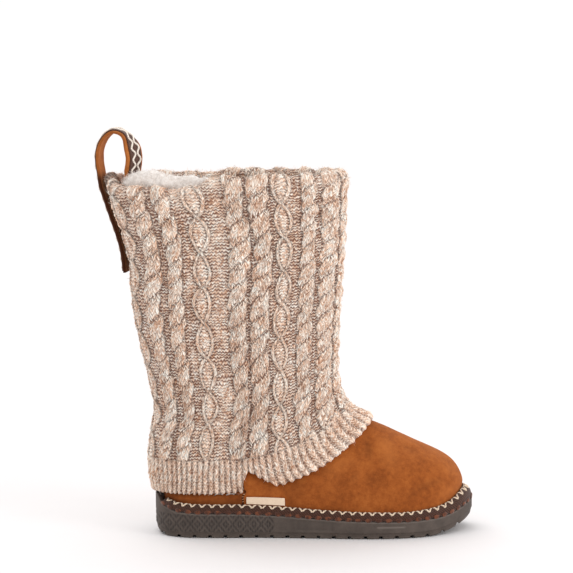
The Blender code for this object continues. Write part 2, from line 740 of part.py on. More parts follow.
def strap_frame():
    """Where the strap's outside leg crosses the collar, and its inward and sideways directions."""
    normal = form_normal(STRAP_STATION, STRAP_CROSSING_LEVEL)
    inwards = -np.array([normal[0], normal[1], 0.0])
    inwards /= np.linalg.norm(inwards)
    sideways = np.array([-inwards[1], inwards[0], 0.0])
    return inwards, sideways


def strap_path():
    """Inner face of the strap: up the outside of the sleeve, over the loop, down the lining."""
    inwards, _ = strap_frame()
    outside_offset = KNIT_CLEARANCE + KNIT_GROUND + KNIT_RIDGE + STRAP_CLEARANCE
    level_count = int((COLLAR_RING - STRAP_LOW_LEVEL) / STRAP_LEVEL_STEP) + 1
    levels = np.linspace(STRAP_LOW_LEVEL, COLLAR_RING, level_count)
    outer_leg = skin(STRAP_STATION, levels, outside_offset)
    start = outer_leg[-1]
    knots_z = [start[2]] + [p.z for p in LOOP_POINTS]
    knots_in = [0.0] + [p.inwards for p in LOOP_POINTS]
    inner_offset = KNIT_FOLDED - CLEARANCE - INSIDE_LEG_OFFSET
    inner_leg = skin(STRAP_STATION, np.array(INSIDE_LEG_LEVELS), inner_offset)
    knots_z += list(inner_leg[:, 2])
    knots_in += list((inner_leg - start) @ inwards)
    chord = np.concatenate([[0], np.cumsum(np.hypot(np.diff(knots_in), np.diff(knots_z)))])
    fine = np.linspace(0, chord[-1], STRAP_LOOP_STATIONS)[1:]
    loop_in = smooth_curve(chord, knots_in, fine)
    loop_z = smooth_curve(chord, knots_z, fine)
    loop = np.array([start[0], start[1], 0.0]) + loop_in[:, None] * inwards
    loop[:, 2] = loop_z
    return np.concatenate([outer_leg, loop])


def sweep_band(name, path, width, near, far, finish):
    """Flat band along a path: near and far are its faces' distances from the path."""
    inwards, sideways = strap_frame()
    run = np.gradient(path, axis=0)
    run /= np.linalg.norm(run, axis=1, keepdims=True)
    away = np.cross(run, sideways)
    away /= np.linalg.norm(away, axis=1, keepdims=True)
    if away[0] @ inwards > 0:
        away = -away
    bm = bmesh.new()
    half = sideways * width / 2
    rails = [[bm.verts.new(p) for p in path + away * offset + side * half]
             for offset, side in ((near, -1), (near, 1), (far, 1), (far, -1))]
    for i in range(len(path) - 1):
        for k in range(4):
            n = (k + 1) % 4
            bm.faces.new((rails[k][i], rails[n][i], rails[n][i + 1], rails[k][i + 1]))
    bm.faces.new([rail[0] for rail in rails][::-1])
    bm.faces.new([rail[-1] for rail in rails])
    bmesh.ops.recalc_face_normals(bm, faces=bm.faces)
    return add_object(name, bm, finish)


def build_pull_strap():
    """Suede strap and the braid on its outer face."""
    path = strap_path()
    sweep_band("pull_strap", path, STRAP_WIDTH, 0.0, STRAP_THICKNESS,
               material("strap_suede", (0.36, 0.13, 0.04), 0.85))
    near = STRAP_THICKNESS + CLEARANCE
    sweep_band("strap_braid", path[1:-1], STRAP_BRAID_WIDTH, near, near + STRAP_BRAID_THICKNESS,
               material("strap_braid", (0.09, 0.045, 0.03), 0.85))


def build_side_tag():
    """Plain cloth tag ahead of the outer side seam, its foot against the braid."""
    u_range = np.linspace(0.25, 0.5, 400)
    x_range = form_point(u_range, 1.5)[:, 0]
    columns = np.interp(np.linspace(TAG_BACK_X, TAG_FRONT_X, TAG_COLUMNS), x_range, u_range)
    near = VAMP_LAP + CLEARANCE + TAG_EASE
    bm = bmesh.new()
    levels = (TAG_LOW_LEVEL, TAG_MIDDLE_LEVEL, TAG_HIGH_LEVEL)
    rows = [(level, near) for level in levels]
    rows += [(level, near + TAG_THICKNESS) for level in reversed(levels)]
    rails = [[bm.verts.new(p) for p in skin(columns, level, offset)] for level, offset in rows]
    corners = len(rows)
    for i in range(TAG_COLUMNS - 1):
        for k in range(corners):
            n = (k + 1) % corners
            bm.faces.new((rails[k][i], rails[n][i], rails[n][i + 1], rails[k][i + 1]))
    bm.faces.new([rail[0] for rail in rails][::-1])
    bm.faces.new([rail[-1] for rail in rails])
    bmesh.ops.recalc_face_normals(bm, faces=bm.faces)
    return add_object("side_tag", bm, material("tag_cloth", (0.90, 0.74, 0.58), 0.8))


def main():
    """Build the boot."""
    for old in list(bpy.data.objects):
        bpy.data.objects.remove(old, do_unlink=True)
    build_outsole()
    build_insole()
    build_upper()
    build_knit_sleeve()
    build_welt_braid()
    build_pull_strap()
    build_side_tag()


main()
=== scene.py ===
"""Looks of a right boot: suede foot, moulded sole and a cable-knit sleeve over the shaft.

The form of the boot is worked out in millimetres, as its solids are, and every soft surface is a
grid laid on that form. Heights of stitches, creases and pile are added square to it.
"""
import logging
import math
from dataclasses import dataclass, field
from enum import Enum
from typing import Any, Callable, NamedTuple, Union

import bmesh
import bpy
import numpy as np
from mathutils import Euler, Matrix, Vector

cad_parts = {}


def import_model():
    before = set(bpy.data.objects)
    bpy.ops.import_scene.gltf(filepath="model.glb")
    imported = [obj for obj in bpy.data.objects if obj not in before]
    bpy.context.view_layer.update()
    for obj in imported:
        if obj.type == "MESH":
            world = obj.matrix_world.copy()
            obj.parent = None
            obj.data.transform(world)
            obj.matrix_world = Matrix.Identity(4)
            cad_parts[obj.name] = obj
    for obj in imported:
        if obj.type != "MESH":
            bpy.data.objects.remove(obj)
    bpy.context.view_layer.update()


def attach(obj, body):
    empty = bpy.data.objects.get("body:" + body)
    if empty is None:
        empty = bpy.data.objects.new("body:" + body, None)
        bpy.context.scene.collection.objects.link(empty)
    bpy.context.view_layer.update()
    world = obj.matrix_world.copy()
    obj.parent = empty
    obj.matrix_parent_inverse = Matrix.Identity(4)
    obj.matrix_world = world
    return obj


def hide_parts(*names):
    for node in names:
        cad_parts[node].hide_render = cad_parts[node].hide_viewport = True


MM = 0.001
BODY = "root"
TURN = 2 * np.pi
HAIR_SHARES = (0.0, 0.35, 0.7, 1.0)
GRAIN_CELLS = 32
log = logging.getLogger("boot")


class OutlinePoint(NamedTuple):
    """A point of the sole's plan outline."""
    x: float
    y: float


class WeltPoint(NamedTuple):
    """Height of the sole's ledge, and of the braid above it, along the foot."""
    x: float
    ledge_z: float
    braid_rise: float


class Ring(NamedTuple):
    """One ring of the form, from its back point to its front point."""
    back_x: float
    back_z: float
    front_x: float
    front_z: float
    half_width: float
    egg: float
    tilt: float
    follow: float


OUTER_SIDE = [OutlinePoint(*row) for row in (
    (-45.0, 0.0), (-40.0, -20.0), (-25.0, -33.0), (0.0, -37.0), (40.0, -38.0), (85.0, -42.5),
    (125.0, -46.5), (155.0, -43.5), (181.0, -32.0), (200.0, -12.5), (207.0, 8.0),
)]
INNER_SIDE = [OutlinePoint(*row) for row in (
    (207.0, 8.0), (202.0, 25.0), (185.0, 40.0), (160.0, 48.0), (130.0, 48.0), (90.0, 38.5),
    (45.0, 32.5), (0.0, 34.0), (-25.0, 29.5), (-40.0, 17.5), (-45.0, 0.0),
)]
WELT_LINE = [WeltPoint(*row) for row in (
    (-45.0, 27.0, 6.3), (-38.0, 24.3, 6.3), (-30.0, 21.2, 6.4), (-18.0, 19.9, 6.5),
    (20.0, 19.3, 6.6), (55.0, 17.8, 6.6), (90.0, 15.3, 6.6), (125.0, 14.0, 6.6),
    (168.0, 14.0, 7.2), (181.0, 15.0, 8.2), (190.0, 17.0, 9.4), (198.0, 20.0, 12.0),
    (207.0, 24.0, 13.5),
)]
RINGS = [Ring(*row) for row in (
    (-38.5, 24.8, 198.5, 20.5, 41.5, 0.00, 1.0, 1.00),
    (-38.5, 30.8, 198.5, 32.3, 41.5, 0.00, 1.0, 1.00),
    (-38.8, 31.6, 198.8, 38.4, 42.3, 0.00, 1.0, 0.80),
    (-39.3, 32.4, 196.3, 45.6, 42.6, 0.02, 1.3, 0.60),
    (-39.9, 33.0, 190.8, 53.7, 42.0, 0.07, 1.7, 0.40),
    (-40.5, 33.6, 182.1, 60.3, 41.0, 0.14, 2.1, 0.25),
    (-41.1, 34.2, 168.5, 67.1, 39.6, 0.24, 2.5, 0.15),
    (-41.6, 34.7, 152.9, 74.4, 38.0, 0.36, 2.8, 0.08),
    (-42.1, 35.2, 137.9, 81.4, 36.4, 0.48, 3.1, 0.00),
    (-42.6, 35.8, 124.5, 87.0, 35.2, 0.60, 3.4, 0.00),
    (-43.7, 42.7, 113.0, 91.9, 34.6, 0.72, 3.4, 0.00),
    (-44.8, 52.2, 104.2, 98.7, 34.2, 0.83, 3.0, 0.00),
    (-45.1, 65.2, 97.9, 107.9, 34.0, 0.91, 2.4, 0.00),
    (-43.2, 81.7, 94.9, 119.3, 34.0, 0.96, 1.8, 0.00),
    (-40.3, 99.7, 94.0, 132.8, 34.2, 1.00, 1.4, 0.00),
    (-44.5, 123.2, 94.6, 150.8, 34.4, 1.00, 1.2, 0.00),
    (-51.7, 154.8, 95.9, 174.8, 34.7, 1.00, 1.1, 0.00),
    (-57.3, 188.8, 97.9, 202.7, 35.0, 1.00, 1.0, 0.00),
    (-60.4, 225.9, 99.9, 234.7, 35.3, 1.00, 1.0, 0.00),
    (-71.9, 262.9, 101.9, 266.7, 35.6, 1.00, 1.0, 0.00),
    (-76.6, 277.5, 102.8, 279.7, 35.8, 1.00, 1.0, 0.00),
    (-78.6, 284.0, 103.3, 286.2, 35.9, 1.00, 1.0, 0.00),
)]
HEM_LEVEL = 9.0
FOLD_LEVEL = 19.0
COLLAR_LEVEL = 20.0
RIM_LEVEL = 21.0
DIP_STATIONS = (-0.02, 0.03, 0.183, 0.228)
DIP_LEVELS = 0.8


def smooth_curve(stations: Any, values: Any, at: Any) -> np.ndarray:
    """Cubic through table values, with the slopes of neighbouring rows.

    Args:
        stations: Places of the table's rows, rising.
        values: The table's values.
        at: Where the curve is read.

    Returns:
        The curve's values.
    """
    stations = np.asarray(stations, dtype=float)
    values = np.asarray(values, dtype=float)
    at = np.clip(np.asarray(at, dtype=float), stations[0], stations[-1])
    slopes = np.gradient(values, stations)
    row = np.clip(np.searchsorted(stations, at, side="right") - 1, 0, len(stations) - 2)
    span = stations[row + 1] - stations[row]
    t = (at - stations[row]) / span
    rise = values[row + 1] - values[row]
    start, end = slopes[row] * span, slopes[row + 1] * span
    return (values[row] + start * t + (3 * rise - 2 * start - end) * t ** 2
            + (start + end - 2 * rise) * t ** 3)


def smooth_step(low: float, high: float, at: Any) -> np.ndarray:
    """Soft step from 0 at low to 1 at high."""
    t = np.clip((np.asarray(at, dtype=float) - low) / (high - low), 0.0, 1.0)
    return t * t * (3 - 2 * t)


def window(low_end: float, low: float, high: float, high_end: float, at: Any) -> np.ndarray:
    """1 between low and high, 0 past the two ends, and soft in between."""
    return smooth_step(low_end, low, at) * smooth_step(high_end, high, at)


def unit(vectors: np.ndarray) -> np.ndarray:
    """Vectors of length one along the last axis."""
    return vectors / np.maximum(np.linalg.norm(vectors, axis=-1, keepdims=True), 1e-9)


def squared(wave: np.ndarray, power: float) -> np.ndarray:
    """A cosine or sine drawn out towards a square: its size to a power, with its sign."""
    return np.sign(wave) * np.abs(wave) ** power


def grid_normals(points: np.ndarray, closed: bool = False) -> np.ndarray:
    """Normals of a grid of points, columns crossed with rows.

    Args:
        points: Rows by columns by three.
        closed: Whether the last column repeats the first.

    Returns:
        Unit normals of the same shape.
    """
    along = np.gradient(points, axis=1)
    if closed:
        along[:, 0] = along[:, -1] = (points[:, 1] - points[:, -2]) / 2
    upwards = np.gradient(points, axis=0)
    return unit(np.cross(along, upwards))


def as_arrays(*values: Any) -> list:
    """Numbers or arrays as arrays of one shape."""
    return np.broadcast_arrays(*(np.asarray(value, dtype=float) for value in values))


def bell(off: Any, width: Any) -> np.ndarray:
    """Bell curve: 1 in the middle, and about a third at its width."""
    return np.exp(-(off / width) ** 2)


def wave(turns: Any) -> np.ndarray:
    """Cosine of whole turns, from 0 to 1 and highest at whole numbers."""
    return 0.5 + 0.5 * np.cos(TURN * turns)


def summed(steps: np.ndarray) -> np.ndarray:
    """Steps added up from 0."""
    return np.concatenate([np.zeros((1,) + steps.shape[1:]), np.cumsum(steps, axis=0)])


def run_length(path: np.ndarray) -> np.ndarray:
    """Distance along a path up to each of its points."""
    return summed(np.linalg.norm(np.diff(path, axis=0), axis=-1))


def plan_steps(x: Any, y: Any) -> np.ndarray:
    """Distance from each point of a flat line to the next."""
    return np.hypot(np.diff(x), np.diff(y))


def row_numbers(points: np.ndarray) -> np.ndarray:
    """Number of the row that each point of a grid is in."""
    return np.arange(points.shape[0])[:, None] * np.ones((1, points.shape[1]))


def capped(points: np.ndarray, ends: np.ndarray) -> np.ndarray:
    """A grid with all of its first and last row drawn to two points."""
    ends = ends[:, None, :] * np.ones((1, points.shape[1], 1))
    return np.concatenate([ends[:1], points, ends[1:]])


class Grain(NamedTuple):
    """A smooth random field in space: its seed, the size of its lumps and how far it goes."""
    seed: int
    lump: float
    amount: float

    def at(self, points: np.ndarray) -> np.ndarray:
        """Read the field at points in millimetres."""
        table = np.random.default_rng(self.seed).uniform(-1, 1, (GRAIN_CELLS,) * 3)
        scaled = points / self.lump
        base = np.floor(scaled).astype(int)
        t = scaled - base
        t = t * t * (3 - 2 * t)
        total = np.zeros(points.shape[:-1])
        for corner in range(8):
            step = np.array([corner & 1, (corner >> 1) & 1, (corner >> 2) & 1])
            i, j, k = np.moveaxis((base + step) % GRAIN_CELLS, -1, 0)
            total += np.prod(np.where(step, t, 1 - t), axis=-1) * table[i, j, k]
        return self.amount * total


class BootForm:
    """The form that sole, foot and shaft share, in millimetres.

    A station u goes from 0 at the heel's back over the outer side, a quarter, and the toe, a half,
    to the inner side. A level counts the rings from the feather edge up to the rim.
    """

    outline_step = 0.004
    round_step = 0.004
    level_step = 0.04
    upright = 0.03
    foot_half_width = 41.5
    feather_inset = 6.5
    feather_toe_extra = 2.0
    feather_toe_arc = 0.06
    feather_clearance = 0.6
    ledge_look_ahead = 1.0
    side_seam_x = 25.5
    shaft_squareness = 2.5
    shaft_aspect = 2.3

    def __init__(self) -> None:
        """Work out the outline's two sides and the shaft's tube once."""
        self.outer = self.dense_side(OUTER_SIDE)
        self.inner = self.dense_side(INNER_SIDE)
        self.seam_arc = float(np.interp(self.side_seam_x, self.outer[0], self.outer[2])) / 2
        self.arc_shift = 0.25 - self.seam_arc
        self.back_x = OUTER_SIDE[0].x + self.feather_inset
        self.front_x = OUTER_SIDE[-1].x - self.feather_inset - self.feather_toe_extra
        angle = np.linspace(0, TURN, 1441)
        power = 2 / self.shaft_squareness
        x, y = -squared(np.cos(angle), power), -squared(np.sin(angle), power)
        length = summed(np.hypot(np.diff(x) * self.shaft_aspect, np.diff(y)))
        self.tube = (length / length[-1], x, y)

    @staticmethod
    def dense_side(points: list) -> tuple:
        """Smooth line through one side of the outline, square to X at both ends."""
        x = np.array([p.x for p in points])
        y = np.array([p.y for p in points])
        mirrored_x = np.concatenate([[x[1]], x, [x[-2]]])
        mirrored_y = np.concatenate([[2 * y[0] - y[1]], y, [2 * y[-1] - y[-2]]])
        knots = summed(np.sqrt(plan_steps(mirrored_x, mirrored_y)))
        fine = np.linspace(knots[1], knots[-2], 400)
        fine_x = smooth_curve(knots, mirrored_x, fine)
        fine_y = smooth_curve(knots, mirrored_y, fine)
        length = summed(plan_steps(fine_x, fine_y))
        return fine_x, fine_y, length / length[-1]

    def outline(self, arc: Any, inset: Any = 0.0) -> tuple:
        """Sole outline at an arc fraction, moved inwards by the inset.

        Args:
            arc: 0 at the heel's back, a half at the toe's tip.
            inset: Distance inwards.

        Returns:
            The x and y of each point.
        """
        arc = np.asarray(arc, dtype=float)

        def raw(fraction: np.ndarray) -> tuple:
            """Outline without an inset."""
            fraction = np.mod(fraction, 1.0)
            outer = fraction <= 0.5
            place = np.where(outer, 2 * fraction, 2 * fraction - 1)
            return tuple(np.where(outer, np.interp(place, self.outer[2], self.outer[k]),
                                  np.interp(place, self.inner[2], self.inner[k]))
                         for k in (0, 1))

        x, y = raw(arc)
        before_x, before_y = raw(arc - self.outline_step)
        after_x, after_y = raw(arc + self.outline_step)
        run_x, run_y = after_x - before_x, after_y - before_y
        size = np.hypot(run_x, run_y)
        return x - inset * run_y / size, y + inset * run_x / size

    def feather(self, arc: Any, inset: float = feather_inset) -> np.ndarray:
        """Inset of the feather line, larger at the toe, where the braid stands up."""
        return inset + self.feather_toe_extra * bell(np.mod(arc, 1.0) - 0.5,
                                                     self.feather_toe_arc)

    def welt(self, x: Any) -> np.ndarray:
        """Height of the sole's ledge at a place along the foot."""
        return smooth_curve([p.x for p in WELT_LINE], [p.ledge_z for p in WELT_LINE], x)

    def braid_rise(self, x: Any) -> np.ndarray:
        """Height of the braid above the ledge."""
        return smooth_curve([p.x for p in WELT_LINE], [p.braid_rise for p in WELT_LINE], x)

    @staticmethod
    def ring_at(level: Any) -> dict:
        """Every column of the ring table, read at a level."""
        rows = np.arange(len(RINGS))
        return {name: smooth_curve(rows, [getattr(r, name) for r in RINGS], level)
                for name in Ring._fields}

    def ring_height(self, ring: dict, x: np.ndarray, along: np.ndarray) -> np.ndarray:
        """Height of a ring at a place along it."""
        lift = np.clip(along, 0, 1) ** ring["tilt"]
        start, end = self.welt(ring["back_x"]), self.welt(ring["front_x"])
        sag = self.welt(x) - (start + (end - start) * along)
        return ring["back_z"] + (ring["front_z"] - ring["back_z"]) * lift + ring["follow"] * sag

    def point(self, u: Any, level: Any) -> np.ndarray:
        """Skin of the form.

        Args:
            u: Station round the boot.
            level: Ring level.

        Returns:
            Points, with x, y and z in the last axis.
        """
        u, level = as_arrays(u, level)
        ring = self.ring_at(level)
        arc = u - self.arc_shift * np.sin(TURN * u)
        foot_x, foot_y = self.outline(arc, self.feather(arc))
        along_foot = (foot_x - self.back_x) / (self.front_x - self.back_x)
        tube_x, tube_y = (np.interp(np.mod(u, 1.0), self.tube[0], v) for v in self.tube[1:])
        egg = np.clip(ring["egg"], 0, 1)
        along = (1 - egg) * along_foot + egg * (tube_x + 1) / 2
        y = ring["half_width"] * ((1 - egg) * foot_y / self.foot_half_width + egg * tube_y)
        x = ring["back_x"] + (ring["front_x"] - ring["back_x"]) * along
        ledge = np.maximum(self.welt(x), self.welt(x + self.ledge_look_ahead))
        on_welt = ledge + self.feather_clearance + np.clip(level, 0, 1) * self.braid_rise(x)
        step = on_welt - self.ring_height(self.ring_at(np.ones_like(level)), x, along)
        above = self.ring_height(ring, x, along) + np.clip(2 - level, 0, 1) * step
        return np.stack([x, y, np.where(level <= 1, on_welt, above)], axis=-1)

    def frame(self, u: Any, level: Any) -> tuple:
        """Outward normal and upward direction of the form.

        Where the rings crowd together, upwards leans on Z.
        """
        low = np.clip(level - self.level_step, 0, RIM_LEVEL)
        high = np.clip(level + self.level_step, 0, RIM_LEVEL)
        around = self.point(u + self.round_step, level) - self.point(u - self.round_step, level)
        upwards = self.point(u, high) - self.point(u, low)
        upwards[..., 2] += self.upright
        return unit(np.cross(around, upwards)), unit(upwards)

    def skin(self, u: Any, level: Any, offset: Any) -> np.ndarray:
        """Point at an offset from the form, square to it."""
        u, level, offset = as_arrays(u, level, offset)
        return self.point(u, level) + offset[..., None] * self.frame(u, level)[0]


FORM = BootForm()


def rim_dip(u: Any) -> np.ndarray:
    """How much of the dip the rim has at a station: all of it over the outer side's back half."""
    return window(*DIP_STATIONS, np.mod(u, 1.0))


def wall_top(u: Any) -> np.ndarray:
    """Level where the foot's wall ends, lower in the rim's dip."""
    return COLLAR_LEVEL - DIP_LEVELS * rim_dip(u)


@dataclass
class Sheet:
    """A grid of quads, with its points in millimetres.

    Attributes:
        name: Name of the piece.
        points: Rows by columns by three. Faces point along columns crossed with rows.
        maps: UV maps, rows by columns by two.
        fields: Number attributes, rows by columns.
        kept: Which rows of faces stay. All of them when it is left out.
        weld: Distance under which points are joined, in metres.
    """

    name: str
    points: np.ndarray
    maps: dict = field(default_factory=dict)
    fields: dict = field(default_factory=dict)
    kept: Union[np.ndarray, None] = None
    weld: float = 2e-6

    def build(self, finish: bpy.types.Material) -> bpy.types.Object:
        """Make the grid, lay it on the points and close its seams."""
        rows, columns = self.points.shape[0] - 1, self.points.shape[1] - 1
        bm = bmesh.new()
        bmesh.ops.create_grid(bm, x_segments=columns, y_segments=rows, size=1.0)
        if self.kept is not None:
            gone = [f for f in bm.faces
                    if not self.kept[int((f.calc_center_median().y + 1) / 2 * rows)]]
            bmesh.ops.delete(bm, geom=gone, context="FACES")
        mesh = bpy.data.meshes.new(self.name)
        bm.to_mesh(mesh)
        bm.free()
        flat = np.empty(len(mesh.vertices) * 3, dtype=np.float32)
        mesh.vertices.foreach_get("co", flat)
        flat = flat.reshape(-1, 3)
        column = np.rint((flat[:, 0] + 1) / 2 * columns).astype(int)
        row = np.rint((flat[:, 1] + 1) / 2 * rows).astype(int)
        mesh.vertices.foreach_set("co", (self.points[row, column] * MM).astype(np.float32).ravel())
        corner = np.empty(len(mesh.loops), dtype=np.int32)
        mesh.loops.foreach_get("vertex_index", corner)
        for name, values in self.maps.items():
            layer = mesh.uv_layers.new(name=name)
            placed = values[row[corner], column[corner]].astype(np.float32)
            layer.data.foreach_set("uv", placed.ravel())
        for name, values in self.fields.items():
            attribute = mesh.attributes.new(name, "FLOAT", "POINT")
            attribute.data.foreach_set("value", values[row, column].astype(np.float32))
        return finished_object(self.name, mesh, finish, self.weld)


def finished_object(name: str, mesh: bpy.types.Mesh, finish: bpy.types.Material,
                    weld: float = 2e-6) -> bpy.types.Object:
    """Weld and smooth a mesh, and put it in the scene with its material.

    Mesh and weld, the distance under which points are joined, are in metres.
    """
    bm = bmesh.new()
    bm.from_mesh(mesh)
    bmesh.ops.remove_doubles(bm, verts=bm.verts, dist=weld)
    bmesh.ops.dissolve_degenerate(bm, dist=weld / 2, edges=bm.edges)
    bm.to_mesh(mesh)
    bm.free()
    mesh.shade_smooth()
    mesh.materials.append(finish)
    made = bpy.data.objects.new(name, mesh)
    bpy.context.collection.objects.link(made)
    return made


def tube_points(path: np.ndarray, side: np.ndarray, radius: Any, sides: int,
                flatness: float = 1.0) -> np.ndarray:
    """Round cord along a path, with both ends drawn to a point.

    Args:
        path: Places along the cord.
        side: A direction across the cord at each place.
        radius: Radius, or a radius for each place.
        sides: Faces round the cord.
        flatness: Height along side as a share of the radius.

    Returns:
        Rows by columns of points for a sheet whose faces point out.
    """
    run = unit(np.gradient(path, axis=0))
    across = unit(np.cross(side, run))
    outwards = np.cross(run, across)
    radius = np.broadcast_to(np.asarray(radius, dtype=float), (len(path),))
    path = np.concatenate([path[:1], path, path[-1:]])
    across = np.concatenate([across[:1], across, across[-1:]])
    outwards = np.concatenate([outwards[:1], outwards, outwards[-1:]])
    radius = np.concatenate([[0.0], radius, [0.0]])[:, None, None]
    turn = np.linspace(0, TURN, sides + 1)
    ring = (np.cos(turn)[None, :, None] * across[:, None, :]
            + flatness * np.sin(turn)[None, :, None] * outwards[:, None, :])
    return path[:, None, :] + radius * ring


def cord_sheet(name: str, points: np.ndarray, step: float) -> Sheet:
    """A thread's tube with its chart, whose rows are a step apart along the thread."""
    rows = row_numbers(points)
    round_it = np.linspace(0, 5, points.shape[1])[None, :] * np.ones(rows.shape)
    return Sheet(name, points, {"yarn": np.stack([round_it, rows * step], axis=-1)})


def hair_strips(name: str, middles: list, width: np.ndarray,
                finish: bpy.types.Material) -> bpy.types.Object:
    """Fine hairs, each a strip of three quads that narrows to its tip.

    Args:
        name: Name of the piece.
        middles: Every hair's place at each of the shares in HAIR_SHARES.
        width: Half the width of each hair, across it.
        finish: The piece's material.

    Returns:
        One object with all the hairs.
    """
    rails = [np.stack([middle - width * (1.1 - share), middle + width * (1.1 - share)], axis=1)
             for share, middle in zip(HAIR_SHARES, middles)]
    points = np.stack(rails, axis=2).reshape(2 * len(width), len(HAIR_SHARES), 3)
    kept = np.arange(2 * len(width) - 1) % 2 == 0
    return Sheet(name, points, kept=kept, weld=1e-9).build(finish)


def bead(bm: bmesh.types.BMesh, axes: tuple, centre: np.ndarray, size: tuple,
         segments: tuple) -> None:
    """Add a squashed ball.

    Args:
        bm: Mesh that takes it.
        axes: Its three directions.
        centre: Its middle.
        size: Half its size along each direction.
        segments: Faces round it and from pole to pole.
    """
    turn = Matrix([[axis[i] for axis in axes] + [centre[i]] for i in range(3)]
                  + [[0.0, 0.0, 0.0, 1.0]])
    bmesh.ops.create_uvsphere(bm, u_segments=segments[0], v_segments=segments[1], radius=1.0,
                              matrix=turn @ Matrix.Diagonal((*size, 1.0)))


def bead_piece(name: str, bm: bmesh.types.BMesh,
               finish: bpy.types.Material) -> bpy.types.Object:
    """Turn a mesh of beads in millimetres into a piece."""
    bmesh.ops.scale(bm, vec=(MM, MM, MM), verts=bm.verts)
    bmesh.ops.recalc_face_normals(bm, faces=bm.faces)
    mesh = bpy.data.meshes.new(name)
    bm.to_mesh(mesh)
    bm.free()
    return finished_object(name, mesh, finish)


def srgb(red: float, green: float, blue: float) -> tuple:
    """Colour as seen, 0 to 255, as the linear colour a shader takes."""
    def linear(value: float) -> float:
        """One channel."""
        value /= 255
        return value / 12.92 if value <= 0.04045 else ((value + 0.055) / 1.055) ** 2.4
    return (linear(red), linear(green), linear(blue), 1.0)


def math_method(operation: str, swapped: bool = False) -> Callable:
    """An operator of Shade, which adds one Math node."""
    def apply(self: "Shade", other: Any) -> "Shade":
        """Join the two numbers."""
        return self.join(operation, *((other, self) if swapped else (self, other)))
    return apply


class Shade:
    """A number on a socket, which Python's operators extend with Math nodes."""

    def __init__(self, sheet: "Nodes", socket: bpy.types.NodeSocket) -> None:
        """Wrap a socket."""
        self.sheet = sheet
        self.socket = socket

    def join(self, operation: str, *values: Any) -> "Shade":
        """Add one Math node."""
        made = self.sheet.add("ShaderNodeMath", {"operation": operation}, dict(enumerate(values)))
        return Shade(self.sheet, made.outputs[0])

    __add__ = __radd__ = math_method("ADD")
    __sub__ = math_method("SUBTRACT")
    __rsub__ = math_method("SUBTRACT", swapped=True)
    __mul__ = __rmul__ = math_method("MULTIPLY")
    __truediv__ = math_method("DIVIDE")

    def clamped(self) -> "Shade":
        """The number held between 0 and 1."""
        return self.join("MINIMUM", self.join("MAXIMUM", self, 0.0), 1.0)

    def floor(self) -> "Shade":
        """The whole number below."""
        return self.join("FLOOR", self)

    def step(self, low: float, high: float) -> "Shade":
        """Soft step from 0 at low to 1 at high."""
        t = ((self - low) / (high - low)).clamped()
        return t * t * (3.0 - 2.0 * t)

    def wave(self) -> "Shade":
        """Cosine of whole turns, from 0 to 1 and highest at whole numbers."""
        return self.join("COSINE", self * TURN) * 0.5 + 0.5


